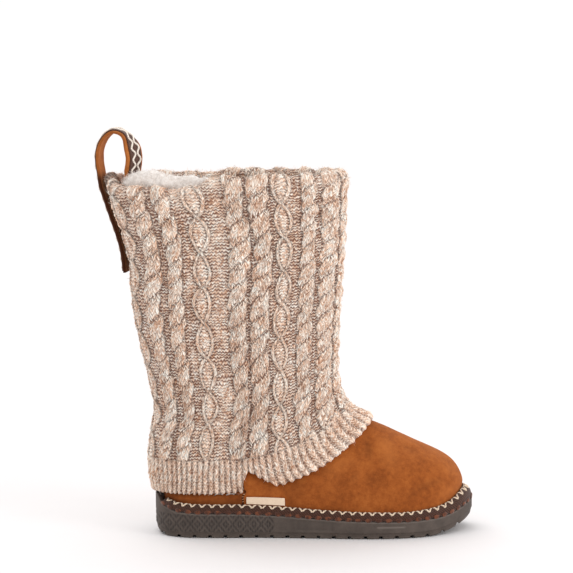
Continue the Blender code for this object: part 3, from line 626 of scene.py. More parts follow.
class Nodes:
    """The nodes of one material."""

    def __init__(self, name: str) -> None:
        """Start a material with a Principled shader."""
        self.material = bpy.data.materials.new(name)
        self.material.use_nodes = True
        self.tree = self.material.node_tree
        self.shader = self.tree.nodes["Principled BSDF"]

    def add(self, kind: str, settings: Union[dict, None] = None,
            inputs: Union[dict, None] = None) -> bpy.types.Node:
        """Add a node.

        Args:
            kind: The node's type.
            settings: Properties, and a ramp's stops, which are set first.
            inputs: Values or links of its sockets, by name or number.

        Returns:
            The node.
        """
        node = self.tree.nodes.new(kind)
        for name, value in (settings or {}).items():
            if name == "stops":
                ramp = node.color_ramp.elements
                while len(ramp) < len(value):
                    ramp.new(0.5)
                for element, (place, colour) in zip(ramp, value):
                    element.position = place
                    element.color = colour
            else:
                setattr(node, name, value)
        for name, value in (inputs or {}).items():
            self.put(node, name, value)
        return node

    def put(self, node: bpy.types.Node, name: Union[str, int], value: Any) -> None:
        """Set a socket to a value or link it."""
        value = value.socket if isinstance(value, Shade) else value
        if isinstance(value, bpy.types.NodeSocket):
            self.tree.links.new(value, node.inputs[name])
        else:
            node.inputs[name].default_value = value

    def shade(self, node: bpy.types.Node, output: Union[str, int] = 0) -> Shade:
        """Number from a node's output."""
        return Shade(self, node.outputs[output])

    def place(self) -> bpy.types.NodeSocket:
        """Place on the object, in metres."""
        return self.add("ShaderNodeTexCoord").outputs["Object"]

    def noise(self, size_mm: float, detail: float = 2.0, roughness: float = 0.5,
              vector: Any = None) -> Shade:
        """Noise with lumps of a size in millimetres."""
        inputs = {"Vector": vector or self.place(), "Scale": 1 / (size_mm * MM),
                  "Detail": detail, "Roughness": roughness}
        return self.shade(self.add("ShaderNodeTexNoise", None, inputs))

    def field(self, name: str) -> Shade:
        """Number attribute of the piece."""
        return self.shade(self.add("ShaderNodeAttribute", {"attribute_name": name}), "Fac")

    def chart(self, name: str = "yarn") -> tuple:
        """The two numbers of the piece's own UV map."""
        mapped = self.add("ShaderNodeUVMap", {"uv_map": name})
        parts = self.add("ShaderNodeSeparateXYZ", None, {0: mapped.outputs[0]})
        return self.shade(parts, 0), self.shade(parts, 1)

    def vector(self, x: Any, y: Any, z: Any = 0.0) -> bpy.types.NodeSocket:
        """A vector of three numbers."""
        return self.add("ShaderNodeCombineXYZ", None, {0: x, 1: y, 2: z}).outputs[0]

    def mix(self, factor: Any, first: Any, second: Any, blend: str = "MIX") -> Any:
        """Mix two colours."""
        node = self.add("ShaderNodeMix", {"data_type": "RGBA", "blend_type": blend},
                        {0: factor, 6: first, 7: second})
        return node.outputs[2]

    def ramp(self, factor: Shade, stops: list) -> bpy.types.NodeSocket:
        """Colours by a number."""
        return self.add("ShaderNodeValToRGB", {"stops": stops}, {0: factor}).outputs[0]

    def finish(self, colour: Any, roughness: Any, height: Union[Shade, None] = None,
               height_mm: float = 0.3, **sockets: float) -> bpy.types.Material:
        """Fill the shader's sockets.

        Args:
            colour: Base colour.
            roughness: Roughness.
            height: Relief from 0 to 1.
            height_mm: Height of the relief.
            **sockets: Plain numbers of other sockets, with underscores for spaces.

        Returns:
            The finished material.
        """
        self.put(self.shader, "Base Color", colour)
        self.put(self.shader, "Roughness", roughness)
        for name, value in sockets.items():
            self.put(self.shader, name.replace("_", " "), value)
        if height is not None:
            bump = self.add("ShaderNodeBump", None, {"Strength": 1.0, "Distance": height_mm * MM,
                                                     "Height": height})
            self.put(self.shader, "Normal", bump.outputs[0])
        return self.material


class Gauge(NamedTuple):
    """Sizes of the V stitches and purl bars, and how steeply a V's legs lean."""
    wale: float = 4.3
    course: float = 3.5
    lean: float = 2.1
    bar: float = 2.35
    bar_wave: float = 3.1


GAUGE = Gauge()


@dataclass(frozen=True)
class MarledYarn:
    """Oatmeal yarn of a cream and a tan ply, in V stitches or purl bars."""

    name: str = "marled_yarn"

    def material(self) -> bpy.types.Material:
        """Yarn that follows the chart of stitches on the sleeve, with painted shade in its low
        places, pits and gaps.
        """
        nodes = Nodes(self.name)
        across, along = nodes.chart()
        purl = nodes.field("purl")
        wale = across / GAUGE.wale + 0.5
        cell = wale.floor()
        off = wale - cell - 0.5
        away = off.join("ABSOLUTE", off)
        side = off.join("SIGN", off)
        leg = along / GAUGE.course - away * GAUGE.lean
        body = leg.wave() * (1.0 - away.step(0.38, 0.5) * 0.9)
        wavy = (across / GAUGE.bar_wave).wave()
        bar = along / GAUGE.bar + wavy * 0.32
        bars = bar.wave() * (0.62 + 0.38 * wavy)
        relief = body * (1.0 - purl) + bars * purl
        strand = leg * (1.0 - purl) + bar * purl
        row = (strand + 0.5).floor()
        length = (away * 4.0) * (1.0 - purl) + across * 0.45 * purl
        seed = nodes.vector(cell + side * 0.31, row)
        hashed = nodes.shade(nodes.add("ShaderNodeTexWhiteNoise", {"noise_dimensions": "3D"},
                                       {"Vector": seed}))
        plies = nodes.noise(1.0 / MM, 2.0, 0.6, nodes.vector(strand * 4.2, length, cell * 3.7))
        cloud = nodes.noise(9.0, 2.0, 0.5)
        fleck = nodes.noise(5.4, 3.0, 0.65).step(0.52, 0.62)
        tone = (hashed * 0.38 + (plies - 0.5) * 2.5 + 0.40 + (cloud - 0.5) * 0.9).clamped()
        colour = nodes.ramp(tone, [(0.0, srgb(174, 121, 90)), (0.24, srgb(224, 181, 151)),
                                   (0.50, srgb(254, 222, 197)), (0.86, srgb(255, 251, 241))])
        colour = nodes.mix(fleck * 0.52, colour, srgb(176, 128, 98))
        # painted shade: the yarn darkens in the low places of its stitches, in random pits, and in
        # the hollows and gutters between cables
        gap = nodes.field("gap")
        pit = nodes.noise(2.4, 2.0, 0.5).step(0.54, 0.66) * (1.0 - relief)
        shade = ((1.0 - relief) * 0.24 + pit * 0.32 + gap * 0.30
                 + gap * (1.0 - relief) * 1.15).clamped()
        colour = nodes.mix(shade * 0.92, colour, srgb(106, 66, 48))
        fibre = nodes.noise(0.35, 3.0, 0.7)
        return nodes.finish(colour, 0.95, (relief * 0.8 + fibre * 0.35).clamped(), 0.85,
                            Sheen_Weight=0.2, Sheen_Roughness=0.5, Specular_IOR_Level=0.15)


@dataclass(frozen=True)
class LooseFibre:
    """Fine hairs that stand off yarn or pile."""

    name: str
    light: tuple
    dark: tuple

    def material(self) -> bpy.types.Material:
        """Hair in two tones."""
        nodes = Nodes(self.name)
        colour = nodes.mix(nodes.noise(3.0).step(0.4, 0.6), self.dark, self.light)
        return nodes.finish(colour, 0.9, Specular_IOR_Level=0.2, Sheen_Weight=0.3)


@dataclass(frozen=True)
class BrushedSuede:
    """Tan suede with a brushed nap: soft clouds and fine grain, with painted shade in low places
    and a painted highlight on ridges.
    """

    name: str = "brushed_suede"
    light: tuple = srgb(164, 93, 41)
    middle: tuple = srgb(142, 75, 30)
    dark: tuple = srgb(112, 55, 20)
    painted_highlight: tuple = srgb(182, 110, 55)

    def material(self) -> bpy.types.Material:
        """Suede with painted shade where the piece's shade attribute is above 0, and a painted
        highlight where it is below.
        """
        nodes = Nodes(self.name)
        clouds = nodes.noise(19.0, 3.0, 0.55)
        strokes = nodes.noise(4.0, 3.0, 0.6)
        grain = nodes.noise(0.55, 3.0, 0.7)
        tone = (clouds * 0.50 + strokes * 0.50 + (grain - 0.5) * 0.5).clamped()
        colour = nodes.ramp(tone, [(0.27, self.dark), (0.50, self.middle), (0.73, self.light)])
        shade = nodes.field("shade")
        # painted highlight where the shade attribute is below 0, painted shade where it is above
        colour = nodes.mix((shade * -1.0).clamped(), colour, self.painted_highlight)
        colour = nodes.mix(shade.clamped(), colour, srgb(58, 26, 10))
        height = grain * 0.6 + strokes * 0.4
        return nodes.finish(colour, 0.92, height, 0.22, Sheen_Weight=0.35, Sheen_Roughness=0.45,
                            Sheen_Tint=srgb(226, 160, 110), Specular_IOR_Level=0.12)


@dataclass(frozen=True)
class MouldedRubber:
    """Dark warm grey foam rubber with a matt skin, and edges lighter from wear and painted
    highlight.
    """

    def material(self) -> bpy.types.Material:
        """Rubber with painted shade in its cuts and grooves, and edges lighter from wear and
        painted highlight.
        """
        nodes = Nodes("moulded_rubber")
        cloud = nodes.noise(9.0, 3.0, 0.6)
        speck = nodes.noise(0.7, 2.0, 0.6)
        tone = (cloud * 0.7 + speck * 0.3).clamped()
        colour = nodes.ramp(tone, [(0.3, srgb(60, 51, 45)), (0.7, srgb(82, 71, 64))])
        # painted shade in the engraved cuts, the recessed panel and the tread's grooves
        colour = nodes.mix(nodes.field("cut").clamped(), colour, srgb(30, 24, 22))
        # lighter edges: painted highlight on the lip under the braid, wear on the bottom edge and
        # tread, and a lighter slot line
        colour = nodes.mix(nodes.field("wear").clamped() * 0.5, colour, srgb(122, 112, 104))
        roughness = 0.56 + speck * 0.2
        return nodes.finish(colour, roughness, speck * 0.7 + cloud * 0.3, 0.12,
                            Specular_IOR_Level=0.35)


@dataclass(frozen=True)
class WovenThread:
    """Thread or woven tape in one colour, with fine ribs along its own chart."""

    name: str
    light: tuple
    dark: tuple
    rib: float = 0.9
    relief: float = 0.25

    def material(self) -> bpy.types.Material:
        """Twisted or woven thread."""
        nodes = Nodes(self.name)
        across, along = nodes.chart()
        ribs = ((across * 0.6 + along) / self.rib).wave()
        weft = (across / self.rib).wave()
        tone = (ribs * 0.45 + weft * 0.2 + nodes.noise(1.6, 2.0, 0.6) * 0.5).clamped()
        colour = nodes.ramp(tone, [(0.15, self.dark), (0.75, self.light)])
        return nodes.finish(colour, 0.85, ribs * 0.7 + weft * 0.3, self.relief,
                            Sheen_Weight=0.2, Specular_IOR_Level=0.25)


@dataclass(frozen=True)
class WhitePile:
    """White fleece pile in soft locks."""

    name: str = "white_pile"

    def material(self) -> bpy.types.Material:
        """Pile with greyer roots."""
        nodes = Nodes(self.name)
        lock = nodes.noise(3.2, 4.0, 0.65)
        hair = nodes.noise(0.6, 3.0, 0.7)
        colour = nodes.ramp((lock * 0.75 + hair * 0.25).clamped(),
                            [(0.32, srgb(198, 188, 180)), (0.62, srgb(238, 232, 227))])
        return nodes.finish(colour, 0.95, lock * 0.6 + hair * 0.4, 0.8, Sheen_Weight=0.4,
                            Specular_IOR_Level=0.15)


@dataclass(frozen=True)
class PaleFloor:
    """Plain white studio floor."""

    def material(self) -> bpy.types.Material:
        """Matt paper with the slightest mottle."""
        nodes = Nodes("pale_floor")
        colour = nodes.mix(nodes.noise(60.0), srgb(224, 221, 221), srgb(227, 224, 224))
        return nodes.finish(colour, 0.9, Specular_IOR_Level=0.1)


class Cable(Enum):
    """Kinds of cable in the sleeve."""
    ROPE = "rope"
    OVAL = "oval"


class CableColumn(NamedTuple):
    """One column of the sleeve, counted from the divide behind the side seam.

    Its ridge starts and ends at shares of its width, and one of its crossings is at crossing_z.
    """
    kind: Cable
    width: float
    ridge_start: float
    ridge_end: float
    crossing_z: float


class EdgePoint(NamedTuple):
    """A point of the hem's edge at the notch, seen from the side."""
    x: float
    z: float


FRONT_COLUMNS = [CableColumn(*row) for row in (
    (Cable.ROPE, 19.9, 0.06, 0.94, 217.8), (Cable.ROPE, 19.4, 0.07, 0.94, 224.0),
    (Cable.OVAL, 21.4, 0.08, 0.83, 212.0), (Cable.ROPE, 19.1, 0.16, 0.88, 231.8),
    (Cable.ROPE, 20.4, 0.11, 0.95, 221.0), (Cable.ROPE, 16.8, 0.05, 0.92, 226.0),
)]
BACK_COLUMNS = [CableColumn(*row) for row in (
    (Cable.OVAL, 34.1, 0.38, 0.89, 199.4), (Cable.ROPE, 20.7, 0.20, 0.87, 219.5),
    (Cable.ROPE, 19.0, 0.15, 0.88, 223.0), (Cable.OVAL, 25.2, 0.12, 0.90, 217.0),
)]
NOTCH_EDGE = [EdgePoint(*row) for row in (
    (23.8, 20.0), (24.6, 38.0), (26.6, 47.0), (30.0, 53.0), (33.0, 54.2), (38.0, 51.5),
    (46.0, 46.5), (51.0, 43.0), (56.0, 30.0),
)]


@dataclass
class KnitSleeve:
    """Cable-knit tube from its ribbed hem, over the collar and down inside, with loose hairs.

    The four faces (ground, inner_face, fold_face, lining_face) are offsets from the form, joints
    and divide are stations, and each grain makes one thing uneven.
    """

    columns: int = 712
    body_rows: int = 372
    hem_rows: int = 7
    rim_rows: int = 12
    inside_rows: int = 24
    ground: float = 3.6
    inner_face: float = 0.9
    fold_face: float = -5.1
    lining_face: float = -3.0
    ridge: float = 3.1
    stitch: float = 0.92
    oval_pitch: float = 25.4
    oval_strand: float = 1.6
    oval_inset: float = 1.8
    rope_pitch: float = 15.2
    rope_swing: float = 0.25
    rope_strand: float = 0.84
    drift: float = 0.018
    drift_z: tuple = (245.0, 110.0)
    chart_length: float = 232.0
    rib_pitch: float = 5.4
    rib_height: float = 24.0
    rib_relief: float = 1.55
    rib_power: float = 0.65
    purl_below: float = 0.16
    purl_on_puff: float = 0.08
    gutter_shade: float = 0.20
    crease_shade: float = 0.14
    rim_drop: float = 7.5
    rim_edge: float = 1.2
    hem_edge: float = 1.3
    notch_slope: float = 1.04
    back_rise: float = 2.5
    back_reach: float = 0.022
    hairs: int = 9300
    hair_length: tuple = (2.0, 6.0)
    hair_rise: tuple = (0.25, 0.75)
    hair_half_width: float = 0.13
    rim_share: float = 0.24
    divide: float = 0.229
    sway_grain: Grain = Grain(14, 17.0, 1.1)
    turn_grain: Grain = Grain(15, 24.0, 0.07)
    girth_grain: Grain = Grain(20, 4.5, 0.24)
    height_grain: Grain = Grain(16, 6.5, 0.28)
    rib_grain: Grain = Grain(17, 12.0, 0.9)
    stitch_grain: Grain = Grain(18, 4.0, 0.6)
    gutter_shade_grain: Grain = Grain(21, 7.0, 0.22)
    rim_grain: Grain = Grain(19, 9.0, 1.3)
    wall_grain: Grain = Grain(5, 26.0, 0.55)
    chart_x_grains: tuple = (Grain(7, 6.0, 0.7), Grain(8, 2.8, 0.5))
    chart_y_grains: tuple = (Grain(9, 5.5, 1.2), Grain(10, 2.6, 0.8))
    joints: tuple = (0.037, 0.25, 0.475, 0.75)
    names: tuple = ("knit_outer_back", "knit_outer_front", "knit_inner_front", "knit_inner_back")

    @property
    def rim_radius(self) -> float:
        """Half the way across the rim, from its outer to its inner face."""
        return (self.ground - self.fold_face) / 2

    def columns_at(self, u: np.ndarray) -> dict:
        """Which cable each point lies on.

        Args:
            u: Stations round the boot, at the height where the cables stand upright.

        Returns:
            For each point the distance from the cable's middle along u, half its width, its
            kind, a crossing's height, and the distance from the divide.
        """
        side = np.mod(u, 1.0)
        folded = np.minimum(side, 1.0 - side)
        front = folded >= self.divide
        names = ("across", "half", "oval", "cross_z", "from_divide")
        made = {name: np.zeros(side.shape) for name in names}
        for table, here, span, sign in ((FRONT_COLUMNS, front, 0.5 - self.divide, 1.0),
                                        (BACK_COLUMNS, ~front, self.divide, -1.0)):
            kinds, width, first, last, cross_z = (np.array(v) for v in zip(*table))
            ends = np.cumsum(width)
            distance = np.abs(folded[here] - self.divide) / span * ends[-1]
            pick = np.minimum(np.searchsorted(ends, distance), len(table) - 1)
            first, last = first * width + ends - width, last * width + ends - width
            sign = sign * np.where(side[here] <= 0.5, 1.0, -1.0)
            made["across"][here] = sign * (distance - (first + last)[pick] / 2)
            made["half"][here] = (last - first)[pick] / 2
            made["oval"][here] = (kinds == Cable.OVAL)[pick]
            made["cross_z"][here] = cross_z[pick]
            made["from_divide"][here] = sign * distance
        return made

    @staticmethod
    def strand(off: np.ndarray, half: Any, slope: np.ndarray) -> np.ndarray:
        """Round section of a strand that leans by a slope, 1 on its middle and 0 beside it."""
        share = off / (half * np.sqrt(1 + slope ** 2))
        return np.sqrt(np.clip(1 - share ** 2, 0, 1))

    def rope(self, across: np.ndarray, half: np.ndarray, turn: np.ndarray) -> tuple:
        """Two strands laid round each other.

        Args:
            across: Distance from the rope's middle.
            half: Half the rope's width.
            turn: Height above a crossing in pitches.

        Returns:
            Height from 0 to 1, the distance from the middle of the strand on top, and the
            crease where one strand dives under the other.
        """
        heights, offs = [], []
        for number in (0, 1):
            phase = np.pi * (turn + number)
            off = across + self.rope_swing * half * np.cos(phase)
            slope = self.rope_swing * half * np.pi / self.rope_pitch * np.sin(phase)
            dome = self.strand(off, self.rope_strand * half, slope)
            heights.append((0.62 + 0.38 * np.sin(phase)) * dome)
            offs.append(off)
        top = heights[0] >= heights[1]
        crease = bell(heights[0] - heights[1], 0.17) * (np.minimum(*heights) > 0.12)
        return np.maximum(*heights), np.where(top, offs[0], offs[1]), crease

    def oval(self, across: np.ndarray, half: np.ndarray, turn: np.ndarray) -> tuple:
        """Two single strands that cross and part round ovals of purl.

        Args:
            across: Distance from the cable's middle.
            half: Half the cable's width.
            turn: Height above a crossing in pitches.

        Returns:
            Height, the distance from the middle of the strand on top, and the puff between.
        """
        swing = np.sin(np.pi * turn)
        reach = (half - self.oval_inset) * squared(swing, 0.8)
        slope = (half - self.oval_inset) * np.pi / self.oval_pitch * np.cos(np.pi * turn)
        heights, offs = [], []
        for side in (1, -1):
            off = across - side * reach
            front = -side * np.cos(np.pi * turn) * (1 - np.abs(swing))
            heights.append((0.50 + 0.16 * front) * self.strand(off, self.oval_strand, slope))
            offs.append(off)
        top = heights[0] >= heights[1]
        inside = np.clip(1 - (across / np.maximum(np.abs(reach), 0.5)) ** 2, 0, 1)
        return np.maximum(*heights), np.where(top, offs[0], offs[1]), 0.34 * inside

    def pattern(self, at: dict, height: np.ndarray, crossing: np.ndarray,
                place: np.ndarray) -> dict:
        """Relief and chart of the stitches.

        Args:
            at: The cable at each point, from columns_at.
            height: Distance up from the hem, rows by columns.
            crossing: Height of a crossing of each point's cable.
            place: Points of the form, by which the stitches wander.

        Returns:
            relief in millimetres, the chart, where purl lies, and the painted shade of gutters and
            creases.
        """
        ahead, half, is_oval = at["from_divide"], at["half"], at["oval"] > 0.5
        sway = (0.7 * np.sin(height / 19.0 + ahead / 13.0)
                + 0.4 * np.sin(height / 7.3 + ahead / 5.0) + self.sway_grain.at(place))
        across = at["across"] + sway
        pitch = np.where(is_oval, self.oval_pitch, self.rope_pitch)
        turn = (height - crossing) / pitch + self.turn_grain.at(place)
        girth = half * (1.0 + self.girth_grain.at(place))
        rope, rope_off, crease = self.rope(across, girth, turn)
        oval, oval_off, puff = self.oval(across, half, turn)
        raised = np.where(is_oval, oval, rope)
        off = np.where(is_oval, oval_off, rope_off)
        raised = raised * (1.0 + self.height_grain.at(place))
        purl = (raised < self.purl_below) | (is_oval & (raised < puff + self.purl_on_puff))
        raised = np.maximum(raised, np.where(is_oval, puff, 0.0))
        in_rib = smooth_step(self.rib_height + 1.5, self.rib_height - 1.5, height)
        rib_turn = (ahead + self.rib_grain.at(place)) / self.rib_pitch
        rib = wave(rib_turn) ** self.rib_power
        rib_off = (rib_turn - np.rint(rib_turn)) * self.rib_pitch
        ribbed = in_rib > 0.5
        chart_x = np.where(ribbed, rib_off, np.where(purl, ahead, off))
        chart_x = sum((grain.at(place) for grain in self.chart_x_grains), chart_x)
        chart_y = sum((grain.at(place) for grain in self.chart_y_grains), height)
        purl = np.where(ribbed, rib < 0.25, purl)
        wale = chart_x / GAUGE.wale + 0.5
        away = np.abs(wale - np.floor(wale) - 0.5)
        leg = wave(chart_y / GAUGE.course - away * GAUGE.lean)
        leg *= 1 - 0.9 * smooth_step(0.38, 0.5, away)
        wavy = wave(chart_x / GAUGE.bar_wave)
        bars = wave(chart_y / GAUGE.bar + 0.32 * wavy) * (0.62 + 0.38 * wavy)
        stitches = np.where(purl, 0.8 * bars, leg) * (1.0 + self.stitch_grain.at(place))
        relief = ((1 - in_rib) * self.ridge * raised + in_rib * self.rib_relief * rib
                  + self.stitch * stitches)
        # painted shade in the flat purl gutters beside the cables and in the rope's creases
        flat = purl & ~ribbed & (np.abs(across) > 0.8 * half)
        gutter = flat * (self.gutter_shade + self.gutter_shade_grain.at(place))
        low = gutter + self.crease_shade * np.where(is_oval | ribbed, 0.0, crease)
        return {"relief": relief, "chart": np.stack([chart_x, chart_y], axis=-1),
                "purl": purl.astype(float), "low": low}

    @staticmethod
    def blurred(values: np.ndarray, reach: int) -> np.ndarray:
        """Mean over a square of points, round the boot and up it."""
        span = 2 * reach + 1
        for axis, mode in ((1, "wrap"), (0, "edge")):
            width = [(0, 0), (0, 0)]
            width[axis] = (reach + 1, reach)
            total = np.cumsum(np.pad(values, width, mode=mode), axis=axis)
            high = np.take(total, np.arange(span, total.shape[axis]), axis=axis)
            low = np.take(total, np.arange(0, total.shape[axis] - span), axis=axis)
            values = (high - low) / span
        return values

    def ends(self, u: np.ndarray, spine: np.ndarray, total: np.ndarray) -> tuple:
        """Where each column's hem edge ends and its rim begins.

        Args:
            u: Stations, one for each column.
            spine: Points of the form from the hem's level up to the rim's.
            total: Length of each column of the spine.

        Returns:
            The two distances up each column.
        """
        edge_z = np.interp(spine[0, :, 0], *zip(*NOTCH_EDGE), left=0.0, right=0.0)
        lift = np.maximum(edge_z - spine[0, :, 2], 0.0) * self.notch_slope
        at_back = bell(np.mod(u + 0.5, 1.0) - 0.5, self.back_reach)
        top = (total - self.rim_drop * rim_dip(u) + self.back_rise * at_back
               + self.rim_grain.at(spine[-1]))
        return lift + self.hem_edge, top - self.rim_radius - self.rim_edge

    def rows(self, low: np.ndarray, high: np.ndarray, inner_end: np.ndarray) -> tuple:
        """Rows round the hem's edge, up the outer face, over the rim and down inside.

        Args:
            low: Distance up to where the hem's edge ends, for each column.
            high: Distance up to where the rim begins.
            inner_end: Distance up to where the sleeve ends inside.

        Returns:
            Distance up, turn of the wall's section, and length of cloth from the hem, at each
            point.
        """
        ones = np.ones((1, len(low)))
        body = low + np.linspace(0, 1, self.body_rows + 1)[:, None] * (high - low)
        down = high + np.linspace(0, 1, self.inside_rows + 1)[1:, None] * (inner_end - high)
        under = np.linspace(-np.pi, 0, self.hem_rows + 1)[:-1, None]
        over = np.linspace(0, np.pi, self.rim_rows + 1)[1:, None]
        base = np.concatenate([low * np.ones_like(under), body, high * np.ones_like(over), down,
                               inner_end * ones, inner_end * ones])
        angle = np.concatenate([under * ones, 0 * body, over * ones, 0 * down + np.pi,
                                np.pi * ones, np.pi * ones])
        turned = high + np.pi * self.rim_radius
        end = turned + high - inner_end
        cloth = np.concatenate([low + under, body, high + self.rim_radius * over,
                                turned + (high - down), end + ones, end + 2.0 * ones])
        return base, angle, cloth

    def lay_out(self) -> None:
        """Work out the whole sleeve's points, chart and fields."""
        u = np.arange(self.columns + 1) / self.columns
        levels = np.linspace(HEM_LEVEL, RIM_LEVEL, 261)
        spine = FORM.point(u[None, :], levels[:, None])
        length = run_length(spine)
        total = length[-1]
        low, high = self.ends(u, spine, total)
        inner_end = np.array([np.interp(FOLD_LEVEL, levels, line) for line in length.T])
        base, angle, cloth = self.rows(low, high, inner_end)
        chart_y = cloth * self.chart_length / total
        level = np.stack([np.interp(at_length, line, levels)
                          for at_length, line in zip(base.T, length.T)], axis=1)
        place = FORM.point(u[None, :], level)
        lower = smooth_step(*self.drift_z, place[..., 2]) - 0.5
        at = self.columns_at(u + self.drift * lower * np.sin(TURN * u))
        crossing = np.stack([np.interp(at_z, line_z, line) for at_z, line_z, line
                             in zip(at["cross_z"].T, spine[..., 2].T, length.T)], axis=1)
        crossing *= self.chart_length / total
        pattern = self.pattern(at, chart_y, crossing, place)
        lap = 0.6 * smooth_step(0.262, 0.25, np.abs(np.mod(u, 1.0) - 0.5))
        over_rim = smooth_step(0.0, 1.2, angle) * (base >= high - 1e-6)
        relief = pattern["relief"] * (1 - 0.2 * over_rim) + self.wall_grain.at(place)
        centre, radius = self.section(angle, base, high, relief + lap)
        tuck = np.zeros_like(base)
        tuck[-1] = self.lining_face - self.fold_face
        normal, upwards = FORM.frame(u[None, :], level)
        self.points = (place + (centre + radius * np.cos(angle) + tuck)[..., None] * normal
                       + (radius * np.sin(angle))[..., None] * upwards)
        self.normals = unit(np.cos(angle)[..., None] * normal + np.sin(angle)[..., None] * upwards)
        # painted shade in hollows: how far each point lies below the mean of its near and wider
        # neighbours, less in the rib
        narrow = np.clip((self.blurred(relief, 3) - relief) / 0.55, 0, 1)
        wide = np.clip((self.blurred(relief, 9) - relief) / 1.9, 0, 1)
        in_rib = smooth_step(self.rib_height + 2.0, self.rib_height - 2.0, chart_y)
        gap = (0.42 * narrow + 0.60 * wide) * (1.0 - 0.4 * in_rib) + pattern["low"]
        self.fields = {"gap": np.clip(gap, 0, 1), "purl": pattern["purl"]}
        self.chart = pattern["chart"]

    def section(self, angle: np.ndarray, base: np.ndarray, high: np.ndarray,
                relief: np.ndarray) -> tuple:
        """Centre and radius of the wall's section at each point.

        Args:
            angle: Turn of the section, 0 on the outer face and half a turn inside.
            base: Distance up from the hem.
            high: Where the rim's rounding begins.
            relief: Height of the stitches.

        Returns:
            Offset of the centre from the form, and radius about it.
        """
        at_hem = angle < 0
        at_rim = (base >= high - 1e-6) & (angle > 0) & (angle < np.pi)
        inside = (angle >= np.pi - 1e-9) & ~at_rim
        faced = np.clip(np.cos(angle / 2), 0, 1)
        centre = np.select([at_hem, at_rim], [(self.ground + self.inner_face) / 2,
                                              (self.ground + self.fold_face) / 2], 0.0)
        radius = np.select([at_hem, at_rim, inside],
                           [(self.ground - self.inner_face) / 2 + relief * faced,
                            self.rim_radius + relief * (0.5 + 0.5 * np.cos(angle / 2)),
                            -self.fold_face + 0.5 * relief - 0.4], self.ground + relief)
        return centre, radius

    def panels(self, finish: bpy.types.Material) -> list:
        """The sleeve in four sheets that share the points of their edges."""
        ends = [round(joint * self.columns) for joint in self.joints]
        made = []
        for name, start, end in zip(self.names, ends, ends[1:] + [ends[0] + self.columns]):
            pick = np.arange(start, end + 1) % self.columns
            fields = {key: values[:, pick] for key, values in self.fields.items()}
            maps = {"yarn": self.chart[:, pick]}
            made.append(Sheet(name, self.points[:, pick], maps, fields).build(finish))
        return made

    def loose_hairs(self, finish: bpy.types.Material) -> bpy.types.Object:
        """Fine hairs all over the outer face, most of all on the rim."""
        rng = np.random.default_rng(11)
        last = self.hem_rows + self.body_rows + self.rim_rows
        row = rng.integers(2, last, self.hairs)
        on_rim = rng.random(self.hairs) < self.rim_share
        row = np.where(on_rim, rng.integers(last - self.rim_rows - 4, last, self.hairs), row)
        column = rng.integers(0, self.columns, self.hairs)
        root = self.points[row, column]
        normal = self.normals[row, column]
        lay = unit(rng.normal(size=(self.hairs, 3)))
        lay = unit(lay - np.sum(lay * normal, axis=1, keepdims=True) * normal)
        length = rng.uniform(*self.hair_length, self.hairs)[:, None]
        rise = rng.uniform(*self.hair_rise, self.hairs)[:, None]
        width = unit(np.cross(lay, normal)) * self.hair_half_width
        middles = [root + length * (lay * share + normal * rise * (share - 0.45 * share ** 2))
                   for share in HAIR_SHARES]
        return hair_strips("knit_hairs", middles, width, finish)

    def build(self) -> list:
        """Make the sleeve's pieces."""
        self.lay_out()
        made = self.panels(MarledYarn().material())
        for piece in made:
            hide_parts("knit_sleeve")
        hairs = LooseFibre("yarn_hairs", srgb(246, 234, 222), srgb(205, 178, 158))
        made.append(self.loose_hairs(hairs.material()))
        return made


class Crease(NamedTuple):
    """A soft trough or ridge in the suede, placed in the side view; depth below 0 is a ridge. A
    trough also gets painted shade, a ridge a painted highlight.
    """
    x: float
    z: float
    angle_deg: float
    length: float
    width: float
    depth: float


CREASES = [Crease(*row) for row in (
    (124.0, 70.0, -75.0, 11.0, 3.2, 0.90), (118.0, 66.0, 10.0, 9.0, 4.0, 0.60),
    (137.0, 70.0, -35.0, 11.0, 7.0, -0.80), (140.0, 61.0, -60.0, 10.0, 7.0, -0.50),
    (157.0, 69.0, -28.0, 9.0, 4.0, 0.90), (172.0, 41.0, 12.0, 20.0, 3.6, 0.80),
    (188.0, 50.0, -50.0, 8.0, 6.0, -0.60), (186.0, 34.0, 20.0, 12.0, 4.0, -0.40),
    (66.0, 42.0, 80.0, 14.0, 9.0, 0.55), (100.0, 57.0, 18.0, 16.0, 5.5, -0.60),
    (128.0, 46.0, -5.0, 14.0, 6.0, 0.50), (114.0, 48.0, 40.0, 8.0, 3.5, -0.50),
    (31.0, 45.0, 90.0, 7.0, 5.0, -0.50), (40.0, 50.0, -25.0, 10.0, 3.0, 0.50),
    (8.0, 38.0, 80.0, 9.0, 4.0, 0.40), (-14.0, 36.0, 96.0, 9.0, 4.0, 0.40),
    (-30.0, 33.0, 80.0, 7.0, 3.0, 0.35),
)]


